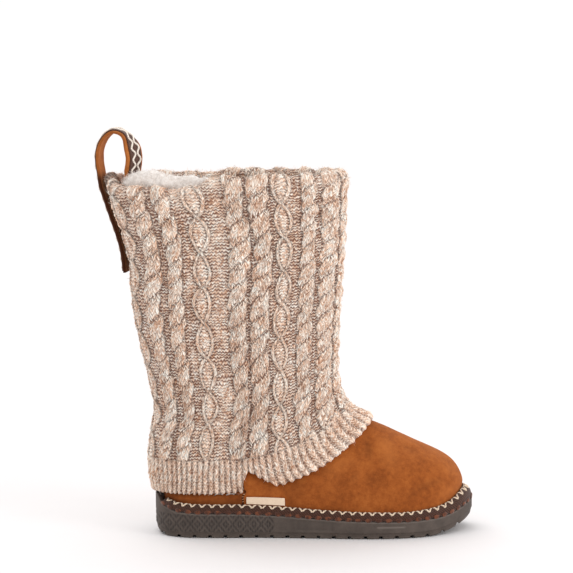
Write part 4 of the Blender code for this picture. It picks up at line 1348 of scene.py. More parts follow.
@dataclass
class SuedeFoot:
    """Suede foot and the shaft's cloth above it: one wall with seams, creases and stitches."""

    wall: float = 1.1
    lap: float = 0.6
    columns: int = 288
    seam_steps: tuple = (-0.0060, -0.0030, -0.0018, -0.0012, -0.0006, 0.0003, 0.0012, 0.0030,
                         0.0060)
    shaft_level: float = 10.5
    fine_rows: int = 108
    shaft_rows: int = 24
    stitch_pitch: float = 2.1
    stitch_size: tuple = (0.95, 0.38, 0.36)
    stitch_rows: tuple = ((0.2490, 1.0), (0.7510, -1.0))
    stitch_levels: tuple = (1.2, 5.0)
    stitch_lean: float = 0.45
    stitch_lift: float = 0.22
    groove_depth: float = 0.75
    groove_shade: float = 0.9
    roll_height: float = 0.25
    crease_depth: float = 1.1
    crease_shade: float = 0.34
    ridge_highlight: float = 0.36
    inner_crease: float = 0.8
    behind_shade: float = 0.34
    low_shade: float = 0.22
    uneven_grains: tuple = (Grain(21, 22.0, 0.30), Grain(21, 8.0, 0.12))
    shade_grain: Grain = Grain(21, 16.0, 0.10)

    def stations(self) -> np.ndarray:
        """Even stations, with close ones at both side seams."""
        even = np.arange(self.columns) / self.columns
        kept = even[np.min(np.abs(even[:, None] - np.array([[0.25, 0.75]])), axis=1) > 0.008]
        close = [seam + turn * step for seam, turn in ((0.25, 1), (0.75, -1))
                 for step in self.seam_steps]
        return np.concatenate([np.sort(np.concatenate([kept, close])), [1.0]])

    def relief(self, u: np.ndarray, place: np.ndarray) -> tuple:
        """Height of laps, seams, creases and unevenness.

        Args:
            u: Stations, one for each column.
            place: Points of the form.

        Returns:
            Heights in millimetres, and the shade attribute: painted shade above 0, painted
            highlight below 0, with random blotches.
        """
        into_vamp = 0.25 - np.abs(u - 0.5)
        lap = self.lap * smooth_step(-0.0007, 0.0004, into_vamp)
        groove = bell(into_vamp + 0.0012, 0.0009)
        roll = bell(into_vamp - 0.0015, 0.0012)
        ones = np.ones(place.shape[:2])
        height = (lap - self.groove_depth * groove + self.roll_height * roll) * ones
        # painted shade in the seam groove
        shade = self.groove_shade * groove * ones
        for crease in CREASES:
            angle = math.radians(crease.angle_deg)
            dx, dz = place[..., 0] - crease.x, place[..., 2] - crease.z
            along = dx * math.cos(angle) + dz * math.sin(angle)
            off = dz * math.cos(angle) - dx * math.sin(angle) + 0.012 * along ** 2
            outer, inner = (np.exp(-((along - shift) / crease.length) ** 2 * 2
                                   - (off / crease.width) ** 2) for shift in (0.0, 5.0))
            bump = (outer * smooth_step(-6.0, -16.0, place[..., 1])
                    + self.inner_crease * inner * smooth_step(6.0, 16.0, place[..., 1]))
            height -= self.crease_depth * crease.depth * bump
            # painted shade in each trough, painted highlight on each ridge
            shading = self.crease_shade if crease.depth > 0 else self.ridge_highlight
            shade += shading * crease.depth * bump
        height += sum(grain.at(place) for grain in self.uneven_grains)
        # painted shade on the counter behind the side seams and just above the braid; the grain
        # adds random blotches
        behind = smooth_step(0.0, -0.002, into_vamp)
        x, _, z = np.moveaxis(place, -1, 0)
        low = bell(z - FORM.welt(x) - FORM.braid_rise(x), 3.0)
        shade += self.behind_shade * behind + self.low_shade * low + self.shade_grain.at(place)
        return height, np.clip(shade, -1, 1)

    def outside(self, finish: bpy.types.Material) -> bpy.types.Object:
        """Outer face, turned in at the feather edge and at the collar."""
        u = self.stations()
        low = np.linspace(0, self.shaft_level, self.fine_rows + 1)[:, None] * np.ones(len(u))
        high = self.shaft_level + (np.linspace(0, 1, self.shaft_rows + 1)[1:, None]
                                   * (wall_top(u) - self.shaft_level))
        levels = np.concatenate([low, high])
        place = FORM.point(u[None, :], levels)
        normal = FORM.frame(u[None, :], levels)[0]
        height, shade = self.relief(u, place)
        points = place + height[..., None] * normal
        turned = [place[:1] - self.wall * normal[:1], points, place[-1:] - self.wall * normal[-1:]]
        shade = np.concatenate([shade[:1], shade, shade[-1:]])
        return Sheet("suede_foot", np.concatenate(turned), fields={"shade": shade}).build(finish)

    def seam_stitches(self, finish: bpy.types.Material) -> bpy.types.Object:
        """Small tan stitches over both side seams."""
        bm = bmesh.new()
        for u, turn in self.stitch_rows:
            levels = np.linspace(*self.stitch_levels, 300)
            length = run_length(FORM.skin(u, levels, 0.1))
            for at in np.arange(1.0, length[-1], self.stitch_pitch):
                level = float(np.interp(at, length, levels))
                normal, upwards = (v.reshape(3) for v in FORM.frame(u, level))
                forward = np.cross(upwards, normal) * turn
                lean = unit(forward + self.stitch_lean * upwards)
                centre = FORM.skin(u, level, self.stitch_lift).reshape(3)
                bead(bm, (lean, np.cross(normal, lean), normal), centre, self.stitch_size, (8, 6))
        return bead_piece("side_stitches", bm, finish)

    def build(self) -> list:
        """Make the suede foot and its stitches."""
        foot = self.outside(BrushedSuede().material())
        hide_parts("upper")
        thread = LooseFibre("tan_thread", srgb(206, 160, 122), srgb(150, 104, 70))
        stitches = self.seam_stitches(thread.material())
        return [foot, stitches]


@dataclass
class Fleece:
    """White pile: the lining of foot and shaft, a puff at the collar, and its loose hairs."""

    lining_offset: float = -2.4
    lining_edge: float = 1.2
    lining_grains: tuple = (Grain(31, 5.0, 0.5), Grain(31, 2.6, 0.35))
    columns: int = 260
    rows: int = 84
    puff_start: float = 0.028
    puff_end: float = 0.250
    puff_offset: float = -13.5
    puff_z: float = 277.0
    puff_level: float = 20.6
    puff_radius: float = 8.0
    puff_flatness: float = 1.28
    puff_columns: int = 90
    puff_sides: int = 40
    puff_grains: tuple = (Grain(37, 7.0, 1.5), Grain(37, 3.2, 0.8))
    hairs: int = 2600
    hair_length: tuple = (2.0, 5.0)
    hair_half_width: float = 0.16

    def lining(self, finish: bpy.types.Material) -> bpy.types.Object:
        """Pile on the inside of the wall, with both edges turned out to the suede."""
        u = np.linspace(0, 1, self.columns + 1)
        levels = np.linspace(0, 1, self.rows + 1)[:, None] * wall_top(u)[None, :]
        place = FORM.point(u[None, :], levels)
        normal = FORM.frame(u[None, :], levels)[0]
        depth = sum(grain.at(place) for grain in self.lining_grains) - 0.5
        depth *= window(0.0, 1.2, 18.2, 18.9, levels)
        points = place + (self.lining_offset + np.minimum(depth, 0.0))[..., None] * normal
        edged = [place[:1] - self.lining_edge * normal[:1], points,
                 place[-1:] - self.lining_edge * normal[-1:]]
        points = np.concatenate(edged)[:, ::-1]
        return Sheet("fleece_lining", points).build(finish)

    def puff(self, finish: bpy.types.Material) -> tuple:
        """Pile that wells up behind the low stretch of the rim, with its points and normals."""
        u = np.linspace(self.puff_start, self.puff_end, self.puff_columns)
        share = (u - self.puff_start) / (self.puff_end - self.puff_start)
        end = np.sin(np.pi * share) ** 0.45
        path = FORM.skin(u, self.puff_level, self.puff_offset + 5.5 * (1 - end))
        path[:, 2] = self.puff_z + 2.6 * bell(share - 0.30, 0.13) - 3.0 * (1 - end)
        side = np.tile([0.0, 0.0, 1.0], (len(u), 1))
        radius = self.puff_radius * end * (1.05 - 0.3 * share) + 0.2
        points = tube_points(path, side, radius, self.puff_sides, self.puff_flatness)
        normal = grid_normals(points, closed=True)
        height = sum(grain.at(points) for grain in self.puff_grains)
        height[[0, -1]] = 0.0
        points = points + height[..., None] * normal
        return Sheet("fleece_puff", points).build(finish), points, normal

    def loose_hairs(self, points: np.ndarray, normal: np.ndarray,
                    finish: bpy.types.Material) -> bpy.types.Object:
        """Hairs on the upper side of the puff."""
        rng = np.random.default_rng(41)
        row = rng.integers(3, points.shape[0] - 3, self.hairs)
        column = rng.integers(0, points.shape[1] - 1, self.hairs)
        up = normal[row, column, 2] > -0.25
        row, column = row[up], column[up]
        root, out = points[row, column], normal[row, column]
        lay = unit(out + 0.9 * rng.normal(size=out.shape))
        width = unit(np.cross(lay, out)) * self.hair_half_width
        length = rng.uniform(*self.hair_length, len(row))[:, None]
        droop = np.array([0.0, 0.0, -0.35])
        middles = [root + length * share * (lay + droop * share) for share in HAIR_SHARES]
        return hair_strips("fleece_hairs", middles, width, finish)

    def build(self) -> list:
        """Make the lining, the puff and its hairs."""
        pile = WhitePile().material()
        lining = self.lining(pile)
        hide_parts("upper")
        puff, points, normal = self.puff(pile)
        hair = LooseFibre("pile_hairs", srgb(240, 232, 226), srgb(214, 204, 196)).material()
        hairs = self.loose_hairs(points, normal, hair)
        return [lining, puff, hairs]


class SoleRow(NamedTuple):
    """A row of the sole's side: inset, and rise above the tread."""
    inset: float
    rise: float


TREAD_EDGE = [SoleRow(*row) for row in (
    (3.2, 0.0), (2.2, 0.25), (1.3, 1.2), (1.0, 2.4), (0.75, 3.5), (0.6, 4.4), (0.15, 4.8),
    (0.0, 5.2),
)]


@dataclass
class Outsole:
    """Moulded foam sole: ledge, heel guard, engraved side, notched edge and grooved tread."""

    stations: int = 520
    heel_step: float = 0.5
    wall_rows: int = 28
    tread_rows: int = 12
    groove_pitch: float = 12.2
    groove_first_x: float = -38.0
    groove_count: int = 20
    groove_width: float = 2.8
    groove_depth: float = 2.3
    rib_half: float = 9.0
    guard_height: float = 5.2
    guard_half_arc: float = 0.034
    guard_slope_arc: float = 0.014
    diamond_start_x: float = -50.1
    diamond_end_x: float = 49.0
    diamond_pitch: float = 11.1
    diamond_z: float = 11.2
    diamond_half_height: float = 7.4
    band_z: tuple = (4.6, 5.4, 18.2, 19.2)
    comb_pitch: float = 1.9
    panel_x: tuple = (66.0, 67.0, 94.5, 95.5)
    panel_z: tuple = (6.2, 7.0, 14.2, 15.0)
    slot_x: tuple = (129.0, 131.0, 151.0, 153.0)
    slot_z: float = 9.6
    slot_half: float = 0.8
    toe_spring: float = 0.0066
    toe_spring_x: float = 165.0
    heel_round: float = 0.035
    heel_round_x: float = -34.5
    ledge_inset: float = 9.4
    guard_inset: float = 5.4

    def tread(self, x: np.ndarray) -> np.ndarray:
        """Height of the underside: flat, rising at the toe and rounded at the heel."""
        return (self.toe_spring * np.maximum(x - self.toe_spring_x, 0) ** 2
                + self.heel_round * np.maximum(self.heel_round_x - x, 0) ** 2)

    def groove_xs(self) -> np.ndarray:
        """Middle of each cross groove."""
        return self.groove_first_x + self.groove_pitch * np.arange(self.groove_count)

    def arcs(self) -> np.ndarray:
        """Even arc fractions, closer at the heel's side and the grooves, alike on both sides."""
        heel = np.arange(OUTER_SIDE[0].x + 2.0, self.diamond_end_x + 1.0, self.heel_step)
        edges = np.array([edge + step for edge in (-self.groove_width / 2, self.groove_width / 2)
                          for step in (-0.12, 0.12)])
        edges = (self.groove_xs()[:, None] + edges).ravel()
        close = np.interp(np.concatenate([heel, edges]), FORM.outer[0], FORM.outer[2]) / 2
        even = np.arange(0, self.stations // 2 + 1) / self.stations
        half = np.unique(np.round(np.concatenate([even, close]), 7))
        half = half[np.concatenate([[True], np.diff(half) > 1e-4])]
        return np.concatenate([half, 1 - half[:-1][::-1]])

    def in_groove(self, x: np.ndarray) -> np.ndarray:
        """1 where a cross groove runs."""
        nearest = np.abs(x[..., None] - self.groove_xs()).min(axis=-1)
        return smooth_step(self.groove_width / 2 + 0.1, self.groove_width / 2 - 0.1, nearest)

    def engraving(self, x: np.ndarray, z: np.ndarray) -> tuple:
        """Depth of the cuts in the side, the painted shade in the cuts and the panel, and the
        lighter slot line.
        """
        cell = (x - self.diamond_start_x) / self.diamond_pitch
        across = np.abs(cell - np.floor(cell) - 0.5) * 2
        spread = across + np.abs(z - self.diamond_z) / self.diamond_half_height
        ring = 0.5 - 0.5 * np.cos(TURN * spread * 1.5)
        comb = 0.68 + 0.32 * np.cos(TURN * x / self.comb_pitch)
        inside = smooth_step(self.diamond_end_x + 0.5, self.diamond_end_x - 0.5, x)
        cut = window(*self.band_z, z) * inside * ring * comb
        panel = window(*self.panel_x, x) * window(*self.panel_z, z)
        slot = window(*self.slot_x, x) * bell(z - self.slot_z, self.slot_half)
        # painted shade in the engraved cuts and, faintly, in the recessed panel
        depth = 0.55 * cut + 0.30 * panel + 0.45 * slot
        return depth, np.clip(0.80 * cut + 0.10 * panel, 0, 1), slot

    def grooved(self, points: np.ndarray, edge: np.ndarray, middle: np.ndarray) -> tuple:
        """Raise the tread's cross grooves.

        Args:
            points: The sole's rows.
            edge: The tread's edge.
            middle: Middle of the tread beside each point of the edge.

        Returns:
            The points with grooves, and 1 where a groove runs.
        """
        groove = self.in_groove(points[..., 0])
        half = np.linalg.norm((edge - middle)[:, :2], axis=-1)
        from_middle = np.linalg.norm((points - middle[None])[..., :2], axis=-1)
        rib = np.minimum(self.rib_half, 0.3 * half + 1.0)
        groove = groove * smooth_step(rib - 0.4, rib + 0.4, from_middle)
        roof = self.tread(points[..., 0]) + self.groove_depth
        height = points[..., 2]
        low_part = height < roof
        raised = np.maximum(height, roof * groove + height * (1 - groove))
        points[..., 2] = np.where(low_part, raised, height)
        return points, groove * low_part

    def build(self) -> list:
        """Make the sole as one closed skin, from the ledge down and under to its middle line."""
        arc = self.arcs()
        away = np.abs(np.mod(arc + 0.5, 1.0) - 0.5)
        guard = self.guard_height * np.clip((self.guard_half_arc - away) / self.guard_slope_arc,
                                            0, 1)
        rows, cuts, wears = [], [], []

        def add(inset: Any, height: Callable, cut: Any = 0.0, wear: Any = 0.0) -> None:
            """Add one row round the sole."""
            x, y = FORM.outline(arc, inset)
            rows.append(np.stack([x, y, height(x)], axis=-1))
            cuts.append(cut * np.ones(len(arc)))
            wears.append(wear * np.ones(len(arc)))

        ledge = FORM.feather(arc, self.ledge_inset)
        for share in (0.0, 0.0, 0.5, 1.0):
            add(ledge + share * (self.guard_inset - ledge), FORM.welt)
        rows[0][:, 2] -= 2.0
        add(5.0, lambda x: FORM.welt(x) + guard)
        # the lip under the braid drawn lighter: painted highlight
        add(0.9, lambda x: FORM.welt(x) + guard, wear=0.3)
        add(0.35, lambda x: FORM.welt(x) + guard - 0.25, wear=0.8)
        side_x = FORM.outline(arc)[0]
        top = FORM.welt(side_x) + guard - 1.2
        low = self.tread(side_x) + TREAD_EDGE[-1].rise
        for k in range(self.wall_rows + 1):
            height = top + (low - top) * (k / self.wall_rows)
            # the slot line drawn lighter, and the wall's top row lighter: painted highlight under
            # the lip
            depth, cut, lighter_slot = self.engraving(side_x, height)
            add(depth, lambda x, height=height: height, cut, lighter_slot + (0.25 if k == 0 else 0.0))
        # the bottom edge and the tread lighter from wear
        for row in TREAD_EDGE[-2::-1]:
            add(row.inset, lambda x, row=row: self.tread(x) + row.rise,
                wear=0.5 if row.rise < 1.5 else 0.0)
        edge = rows[-1]
        middle = (edge + edge[::-1]) / 2
        for k in range(1, self.tread_rows + 1):
            rows.append(edge + (middle - edge) * k / self.tread_rows)
            cuts.append(np.zeros(len(arc)))
            wears.append(np.full(len(arc), 0.2))
        points, groove = self.grooved(np.stack(rows), edge, middle)
        # painted shade in the tread's grooves as well
        cut = np.clip(np.stack(cuts) + 0.7 * groove, 0, 1)
        fields = {"cut": cut[::-1], "wear": np.stack(wears)[::-1]}
        made = Sheet("moulded_sole", points[::-1], fields=fields).build(
            MouldedRubber().material())
        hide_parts("outsole")
        return [made]


class BandPoint(NamedTuple):
    """A point across the welt braid: share towards the upper, inset, share of the height, rise."""
    across: float
    inset: float
    share: float
    rise: float


BAND = [BandPoint(*row) for row in (
    (0.15, 0.9, 0.00, 0.45), (0, 0.5, 0.00, 0.6), (0, 0.2, 0.00, 1.7), (0, 1.5, 0.45, 1.0),
    (0.5, 0.9, 0.78, 0.5), (1, -1.2, 1.00, 0.1), (1, -0.2, 1.00, 0.0), (1, 0.0, 0.92, 0.0),
)]


@dataclass
class WeltBraid:
    """Woven braid round the sole's ledge: dark band, rust teeth and an off-white zigzag."""

    start_arc: float = 0.037
    columns: int = 700
    rows: int = 20
    pitch: float = 7.9
    weave: float = 0.16
    weave_pitch: float = 1.3
    weave_rows: int = 8
    sag: float = 0.35
    sag_pitch: float = 26.0
    sag_x: tuple = (150.0, 60.0)
    tooth_share: float = 0.24
    tooth_size: tuple = (2.75, 1.75, 0.60)
    step_arc: float = 0.0008
    step_share: float = 0.03
    zigzag_share: float = 0.44
    zigzag_height: float = 0.38
    zigzag_radius: float = 0.85

    def surface(self, arc: np.ndarray, share: np.ndarray) -> np.ndarray:
        """Points of the band, at shares from 0 on the ledge to 1 at the upper."""
        steps = np.linspace(0, 1, len(BAND))
        across, inset, height, rise = (smooth_curve(steps, column, share)
                                       for column in zip(*BAND))
        in_front = np.abs(arc - 0.5) < 0.5 - FORM.seam_arc
        inner = FORM.feather(arc) - 0.5 - np.where(in_front, 0.6, 0.0)
        x, y = FORM.outline(arc, across * inner + inset)
        z = FORM.welt(x) + height * FORM.braid_rise(x) + rise
        return np.stack([x, y, z], axis=-1)

    def measured(self) -> tuple:
        """Arc fractions along the band and the length up to each."""
        arc = np.linspace(self.start_arc, 1 - self.start_arc, self.columns + 1)
        x, y = FORM.outline(arc, 1.0)
        return arc, summed(plan_steps(x, y))

    def band(self, finish: bpy.types.Material) -> bpy.types.Object:
        """Dark ground with rows of threads."""
        arc, length = self.measured()
        share = np.linspace(0, 1, self.rows + 1)[:, None] * np.ones((1, len(arc)))
        points = self.surface(np.broadcast_to(arc, share.shape), share)
        weave = (self.weave * np.cos(TURN * length / self.weave_pitch)
                 * np.cos(TURN * share * self.weave_rows))
        sag = (self.sag * np.sin(TURN * length / self.sag_pitch)
               * smooth_step(*self.sag_x, points[..., 0]))
        edge = np.sin(np.pi * np.clip(share * 1.15, 0, 1))
        height = (weave + sag) * edge
        points = points + height[..., None] * grid_normals(points)
        inner = points[-1:] * 0.5 + points[:1] * 0.5
        points = np.concatenate([inner, points, inner])
        across = np.linspace(0, 12, points.shape[0])[:, None] * np.ones((1, len(arc)))
        chart = np.stack([np.broadcast_to(length, across.shape), across], axis=-1)
        ends = points.mean(axis=0)[[0, -1]]
        points = capped(points.transpose(1, 0, 2), ends).transpose(1, 0, 2)
        chart = np.concatenate([chart[:, :1], chart, chart[:, -1:]], axis=1)
        return Sheet("braid_band", points, {"yarn": chart}).build(finish)

    def lifted(self, length: np.ndarray, share: np.ndarray, lift: Any) -> tuple:
        """Points lifted off the band, and the normals there."""
        arcs, lengths = self.measured()
        arc = np.interp(length, lengths, arcs)
        along = (self.surface(arc + self.step_arc, share)
                 - self.surface(arc - self.step_arc, share))
        up = (self.surface(arc, np.clip(share + self.step_share, 0, 1))
              - self.surface(arc, np.clip(share - self.step_share, 0, 1)))
        normal = unit(np.cross(along, up))
        return self.surface(arc, share) + np.asarray(lift)[..., None] * normal, normal

    def zigzag(self, finish: bpy.types.Material) -> bpy.types.Object:
        """Off-white cord in V's along the upper half."""
        total = self.measured()[1][-1]
        length = np.arange(0.6, total - 0.6, self.pitch / 8)
        turn = length / self.pitch
        tri = np.abs(2 * (turn - np.floor(turn)) - 1)
        share = self.zigzag_share + self.zigzag_height * (1 - (1 - tri) ** 1.5)
        path, normal = self.lifted(length, share, 0.25 - 0.75 * tri ** 2)
        points = tube_points(path, normal, self.zigzag_radius - 0.40 * tri, 8, 0.8)
        return cord_sheet("braid_zigzag", points, self.pitch / 8 * 1.1).build(finish)

    def teeth(self, finish: bpy.types.Material) -> bpy.types.Object:
        """Rust ovals along the lower half, between the V's."""
        total = self.measured()[1][-1]
        bm = bmesh.new()
        share, lift = np.array([self.tooth_share]), np.array([0.1])
        for middle in np.arange(1.0, total - 2.0, self.pitch):
            place, normal = self.lifted(np.array([middle]), share, lift)
            ahead, _ = self.lifted(np.array([middle + 0.5]), share, lift)
            normal, run = normal[0], unit(ahead[0] - place[0])
            bead(bm, (run, np.cross(normal, run), normal), place[0], self.tooth_size, (12, 8))
        return bead_piece("braid_teeth", bm, finish)

    def build(self) -> list:
        """Make the braid's pieces."""
        ground = WovenThread("braid_ground", srgb(70, 38, 22), srgb(28, 14, 8), 1.3, 0.3)
        cream = WovenThread("braid_cream", srgb(232, 212, 188), srgb(170, 144, 118), 1.4, 0.3)
        rust = LooseFibre("braid_rust", srgb(104, 58, 36), srgb(66, 36, 24))
        band = self.band(ground.material())
        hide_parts("welt_braid")
        made = [band, self.zigzag(cream.material()), self.teeth(rust.material())]
        return made


class LoopPoint(NamedTuple):
    """A point of the free loop: inwards from the strap's outside leg, and height."""
    inwards: float
    z: float


LOOP_POINTS = [LoopPoint(*row) for row in (
    (-1.4, 286.0), (-2.6, 294.0), (-2.2, 303.0), (1.6, 311.5), (8.2, 316.6), (14.8, 315.2),
    (20.2, 308.0), (22.9, 298.5), (22.2, 290.0), (20.2, 282.0), (18.8, 273.0),
)]
INSIDE_LEVELS = (19.0, 18.75, 18.45)


@dataclass
class PullStrap:
    """Suede strap over the collar, with a dark braid and two wavy cords on its outer face."""

    width: float = 20.0
    thickness: float = 2.2
    braid_width: float = 14.0
    braid_thickness: float = 1.2
    station: float = 0.984
    low_level: float = 17.5
    outside_offset: float = 6.8
    inside_offset: float = -10.6
    wave_pitch: float = 8.4
    rows: int = 170
    twist: float = math.radians(26.0)
    twist_run: float = 14.0
    twist_z: tuple = (279.0, 288.0)
    dark_leg_z: tuple = (290.0, 280.0)
    cord_radius: float = 0.85
    cord_lift: float = 0.55
    cord_middle: float = 3.1
    cord_swing: float = 1.7
    edge_power: float = 2 / 9

    def frame(self) -> tuple:
        """Inward and sideways directions of the strap where it crosses the collar."""
        normal = FORM.frame(self.station, 19.5)[0].reshape(3)
        inwards = unit(-np.array([normal[0], normal[1], 0.0]))
        return inwards, np.array([-inwards[1], inwards[0], 0.0])

    def path(self) -> np.ndarray:
        """Inner face of the strap: up the outside, over the loop and down inside."""
        inwards, _ = self.frame()
        levels = np.linspace(self.low_level, COLLAR_LEVEL, 11)
        outer = FORM.skin(self.station, levels, self.outside_offset)
        start = outer[-1]
        knots_z = [start[2]] + [p.z for p in LOOP_POINTS]
        knots_in = [0.0] + [p.inwards for p in LOOP_POINTS]
        inner = FORM.skin(self.station, np.array(INSIDE_LEVELS), self.inside_offset)
        knots_z += list(inner[:, 2])
        knots_in += list((inner - start) @ inwards)
        chord = summed(plan_steps(knots_in, knots_z))
        fine = np.linspace(0, chord[-1], 120)[1:]
        loop = np.array([start[0], start[1], 0.0])
        loop = loop + smooth_curve(chord, knots_in, fine)[:, None] * inwards
        loop[:, 2] = smooth_curve(chord, knots_z, fine)
        whole = np.concatenate([outer, loop])
        length = run_length(whole)
        even = np.linspace(0, length[-1], self.rows + 1)
        return np.stack([smooth_curve(length, whole[:, k], even) for k in range(3)], axis=-1)

    def away(self, path: np.ndarray) -> tuple:
        """Direction out of the strap's outer face, and across it.

        Past its top the loop turns its outer face towards the boot's outer side.
        """
        inwards, sideways = self.frame()
        run = unit(np.gradient(path, axis=0))
        out = unit(np.cross(run, sideways))
        if out[0] @ inwards > 0:
            out = -out
        hand = np.sign(np.cross(out[0], run[0]) @ sideways)
        past_top = np.arange(len(path)) > np.argmax(path[:, 2])
        turned = np.where(past_top, smooth_step(0.0, self.twist_run, path[:, 2].max() - path[:, 2])
                          * smooth_step(*self.twist_z, path[:, 2]), 0.0)
        outer_side = np.array([0.0, -1.0, 0.0])
        aside = outer_side - run * (run @ outer_side)[:, None]
        out = unit(out + (math.tan(self.twist) * turned)[:, None] * aside)
        return out, unit(hand * np.cross(out, run))

    def swept(self, name: str, path: np.ndarray, width: float, near: float, far: float,
              finish: bpy.types.Material, nap: float) -> bpy.types.Object:
        """Flat band with rounded edges and both ends closed.

        Args:
            name: Name of the piece.
            path: The strap's inner face.
            width: Width of the band.
            near: Distance of its inner face from the path.
            far: Distance of its outer face from the path.
            finish: The piece's material.
            nap: Unevenness in millimetres.

        Returns:
            The band.
        """
        out, across = self.away(path)
        turn = np.linspace(0, TURN, 37)
        side = squared(np.cos(turn), self.edge_power) * width / 2
        lift = squared(np.sin(turn), self.edge_power) * (far - near) / 2
        centre = path + out * (near + far) / 2
        points = (centre[:, None] + side[None, :, None] * across[:, None]
                  + lift[None, :, None] * out[:, None])
        lumps = Grain(51, 3.0, nap).at(points)[..., None]
        points = points + lumps * grid_normals(points, closed=True)
        points[:, -1] = points[:, 0]
        points = capped(points, centre[[0, -1]])
        step = row_numbers(points)
        chart = np.stack([np.broadcast_to(side, step.shape), step], axis=-1)
        if np.cross(np.gradient(points, axis=1), np.gradient(points, axis=0))[5, 9] @ out[5] < 0:
            points, chart = points[:, ::-1], chart[:, ::-1]
        # painted shade along both rounded edges and on the outside leg below the loop
        shade = 0.25 * smooth_step(0.42, 0.5, np.abs(chart[..., 0]) / width)
        before_top = step < np.argmax(path[:, 2])
        shade = shade + 0.75 * before_top * smooth_step(*self.dark_leg_z, points[..., 2])
        return Sheet(name, points, {"yarn": chart}, {"shade": shade}).build(finish)

    def cords(self, path: np.ndarray, finish: bpy.types.Material) -> list:
        """Two wavy cords, mirrored across the braid."""
        out, across = self.away(path)
        length = run_length(path)
        made = []
        for number, side in enumerate((-1, 1)):
            fine = np.arange(1.0, length[-1] - 1.0, self.wave_pitch / 12)
            place, lift, over = (np.stack([np.interp(fine, length, v[:, k]) for k in range(3)], -1)
                                 for v in (path, out, across))
            swing = side * (self.cord_middle
                            + self.cord_swing * np.cos(TURN * fine / self.wave_pitch))
            above = self.thickness + self.braid_thickness + self.cord_lift
            line = place + swing[:, None] * over + lift * above
            points = tube_points(line, lift, self.cord_radius, 8, 0.8)
            made.append(cord_sheet(f"strap_cord_{number + 1}", points, 0.9).build(finish))
        return made

    def build(self) -> list:
        """Make the strap, its braid and the cords."""
        path = self.path()
        suede = BrushedSuede("strap_suede", srgb(186, 116, 60), srgb(168, 98, 46),
                             srgb(138, 76, 34))
        strap = self.swept("suede_strap", path, self.width, 0.0, self.thickness,
                           suede.material(), 0.12)
        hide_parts("pull_strap")
        near = self.thickness + 0.15
        ground = WovenThread("strap_ground", srgb(92, 60, 46), srgb(42, 26, 22), 1.2, 0.25)
        braid = self.swept("strap_woven_braid", path[1:-1], self.braid_width, near,
                           near + self.braid_thickness, ground.material(), 0.10)
        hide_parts("strap_braid")
        cream = WovenThread("strap_cream", srgb(250, 240, 228), srgb(196, 178, 162), 1.4, 0.3)
        made = [braid] + self.cords(path[2:-2], cream.material())
        return [strap] + made


@dataclass
class SideTag:
    """Plain woven tag ahead of the side seam, sewn down at its edge."""

    back_x: float = 27.6
    front_x: float = 57.9
    low_level: float = 1.10
    high_back: float = 3.0
    high_front: float = 2.4
    thickness: float = 0.9
    offset: float = 1.45
    bulge: float = 0.35
    edge_power: float = 2 / 8

    def build(self) -> list:
        """Make the tag as one cushion-edged sheet."""
        u_range = np.linspace(0.25, 0.5, 400)
        x_range = FORM.point(u_range, 1.5)[:, 0]
        columns = np.interp(np.linspace(self.back_x, self.front_x, 61), x_range, u_range)
        turn = np.linspace(0, TURN, 49)
        high = np.linspace(self.high_back, self.high_front, len(columns))[:, None]
        middle, half = (high + self.low_level) / 2, (high - self.low_level) / 2
        level = middle - squared(np.cos(turn), self.edge_power)[None, :] * half
        lift = self.offset + squared(np.sin(turn), self.edge_power) * self.thickness / 2
        share = np.linspace(0, 1, len(columns))[:, None]
        lift = lift[None, :] + self.bulge * np.sin(np.pi * share) * np.ones((1, len(turn)))
        points = FORM.skin(columns[:, None], level, lift)
        points = capped(points, points[[0, -1]].mean(axis=1))
        level = np.concatenate([level[:1], level, level[-1:]])
        chart = np.stack([row_numbers(points) * 0.5, level * 6.0], axis=-1)
        cloth = WovenThread("tag_weave", srgb(236, 214, 190), srgb(208, 180, 152), 0.8, 0.12)
        tag = Sheet("plain_tag", points[:, ::-1], {"yarn": chart[:, ::-1]}).build(cloth.material())
        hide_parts("side_tag")
        return [tag]


@dataclass
class Footbed:
    """Pile on the insole, which keeps its solid."""

    node: str = "insole"

    def build(self) -> None:
        """Dress the insole."""
        made = bpy.data.objects.get(self.node)
        for slot in made.material_slots:
            slot.material = WhitePile("footbed_pile").material()


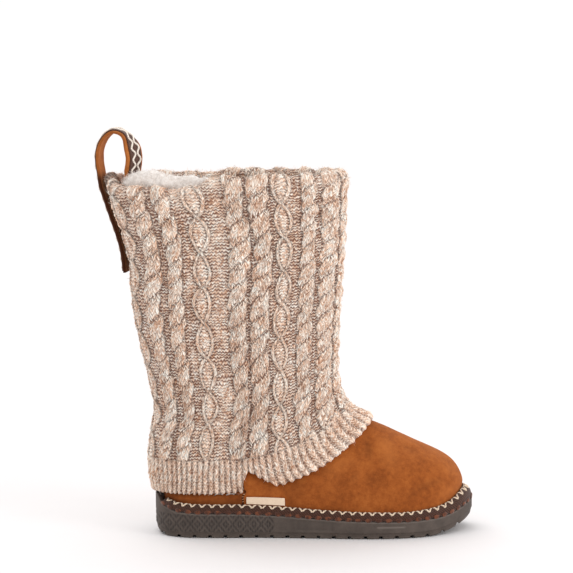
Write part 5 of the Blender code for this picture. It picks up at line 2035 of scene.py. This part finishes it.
@dataclass
class Studio:
    """White studio: floor, soft lights and the camera."""

    aim: tuple = (0.0602, 0.0, 0.1947)
    distance: float = 2.6
    elevation: float = math.radians(7.0)
    roll: float = math.radians(-0.4)
    lens: float = 206.8
    sensor: float = 36.0
    floor_half: float = 40.0
    sky: float = 1.10
    key_place: tuple = (1.8, -1.3, 0.60)
    key_size: float = 0.9
    key_power: float = 18.0
    skylight_from: tuple = (-0.5, 0.8, 1.4)
    skylight_angle: float = math.radians(50.0)
    skylight_power: float = 1.0

    def camera(self) -> None:
        """Camera at the outer side, a little above the boot."""
        data = bpy.data.cameras.new("camera")
        data.lens = self.lens
        data.sensor_width = self.sensor
        made = bpy.data.objects.new("camera", data)
        back = Vector((0.0, -math.cos(self.elevation), math.sin(self.elevation)))
        turn = Euler((math.pi / 2 - self.elevation, 0.0, 0.0)).to_matrix().to_4x4()
        made.matrix_world = (Matrix.Translation(Vector(self.aim) + back * self.distance) @ turn
                             @ Matrix.Rotation(self.roll, 4, "Z"))
        bpy.context.collection.objects.link(made)
        bpy.context.scene.camera = made

    def key(self) -> None:
        """Square soft light that faces the boot from the toe's side."""
        data = bpy.data.lights.new("key", "AREA")
        data.size = self.key_size
        data.energy = self.key_power
        made = bpy.data.objects.new("key", data)
        made.location = self.key_place
        towards = Vector(self.aim) - Vector(self.key_place)
        made.rotation_euler = towards.to_track_quat("-Z", "Y").to_euler()
        bpy.context.collection.objects.link(made)

    def skylight(self) -> None:
        """Broad light from behind and above, which gives the floor its soft shadow."""
        data = bpy.data.lights.new("skylight", "SUN")
        data.angle = self.skylight_angle
        data.energy = self.skylight_power
        made = bpy.data.objects.new("skylight", data)
        made.rotation_euler = Vector(self.skylight_from).to_track_quat("Z", "Y").to_euler()
        bpy.context.collection.objects.link(made)

    def build(self) -> None:
        """Set up the room."""
        bm = bmesh.new()
        bmesh.ops.create_grid(bm, x_segments=1, y_segments=1, size=self.floor_half)
        mesh = bpy.data.meshes.new("floor")
        bm.to_mesh(mesh)
        bm.free()
        mesh.materials.append(PaleFloor().material())
        floor = bpy.data.objects.new("floor", mesh)
        bpy.context.collection.objects.link(floor)
        world = bpy.data.worlds.new("studio")
        world.use_nodes = True
        world.node_tree.nodes["Background"].inputs["Color"].default_value = (1.0, 1.0, 1.0, 1.0)
        world.node_tree.nodes["Background"].inputs["Strength"].default_value = self.sky
        bpy.context.scene.world = world
        bpy.context.scene.view_settings.view_transform = "Standard"
        self.key()
        self.skylight()
        self.camera()


def main() -> None:
    """Dress the boot and light it."""
    logging.basicConfig(level=logging.INFO, format="%(name)s: %(message)s")
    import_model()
    Studio().build()
    total = 0
    for assembly in (KnitSleeve(), SuedeFoot(), Fleece(), Outsole(), WeltBraid(), PullStrap(),
                     SideTag()):
        for piece in assembly.build():
            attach(piece, BODY)
            count = sum(len(p.vertices) - 2 for p in piece.data.polygons)
            total += count
            log.info("%s: %d triangles", piece.name, count)
    Footbed().build()
    log.info("in all: %d triangles", total)


if __name__ == "__main__":
    main()
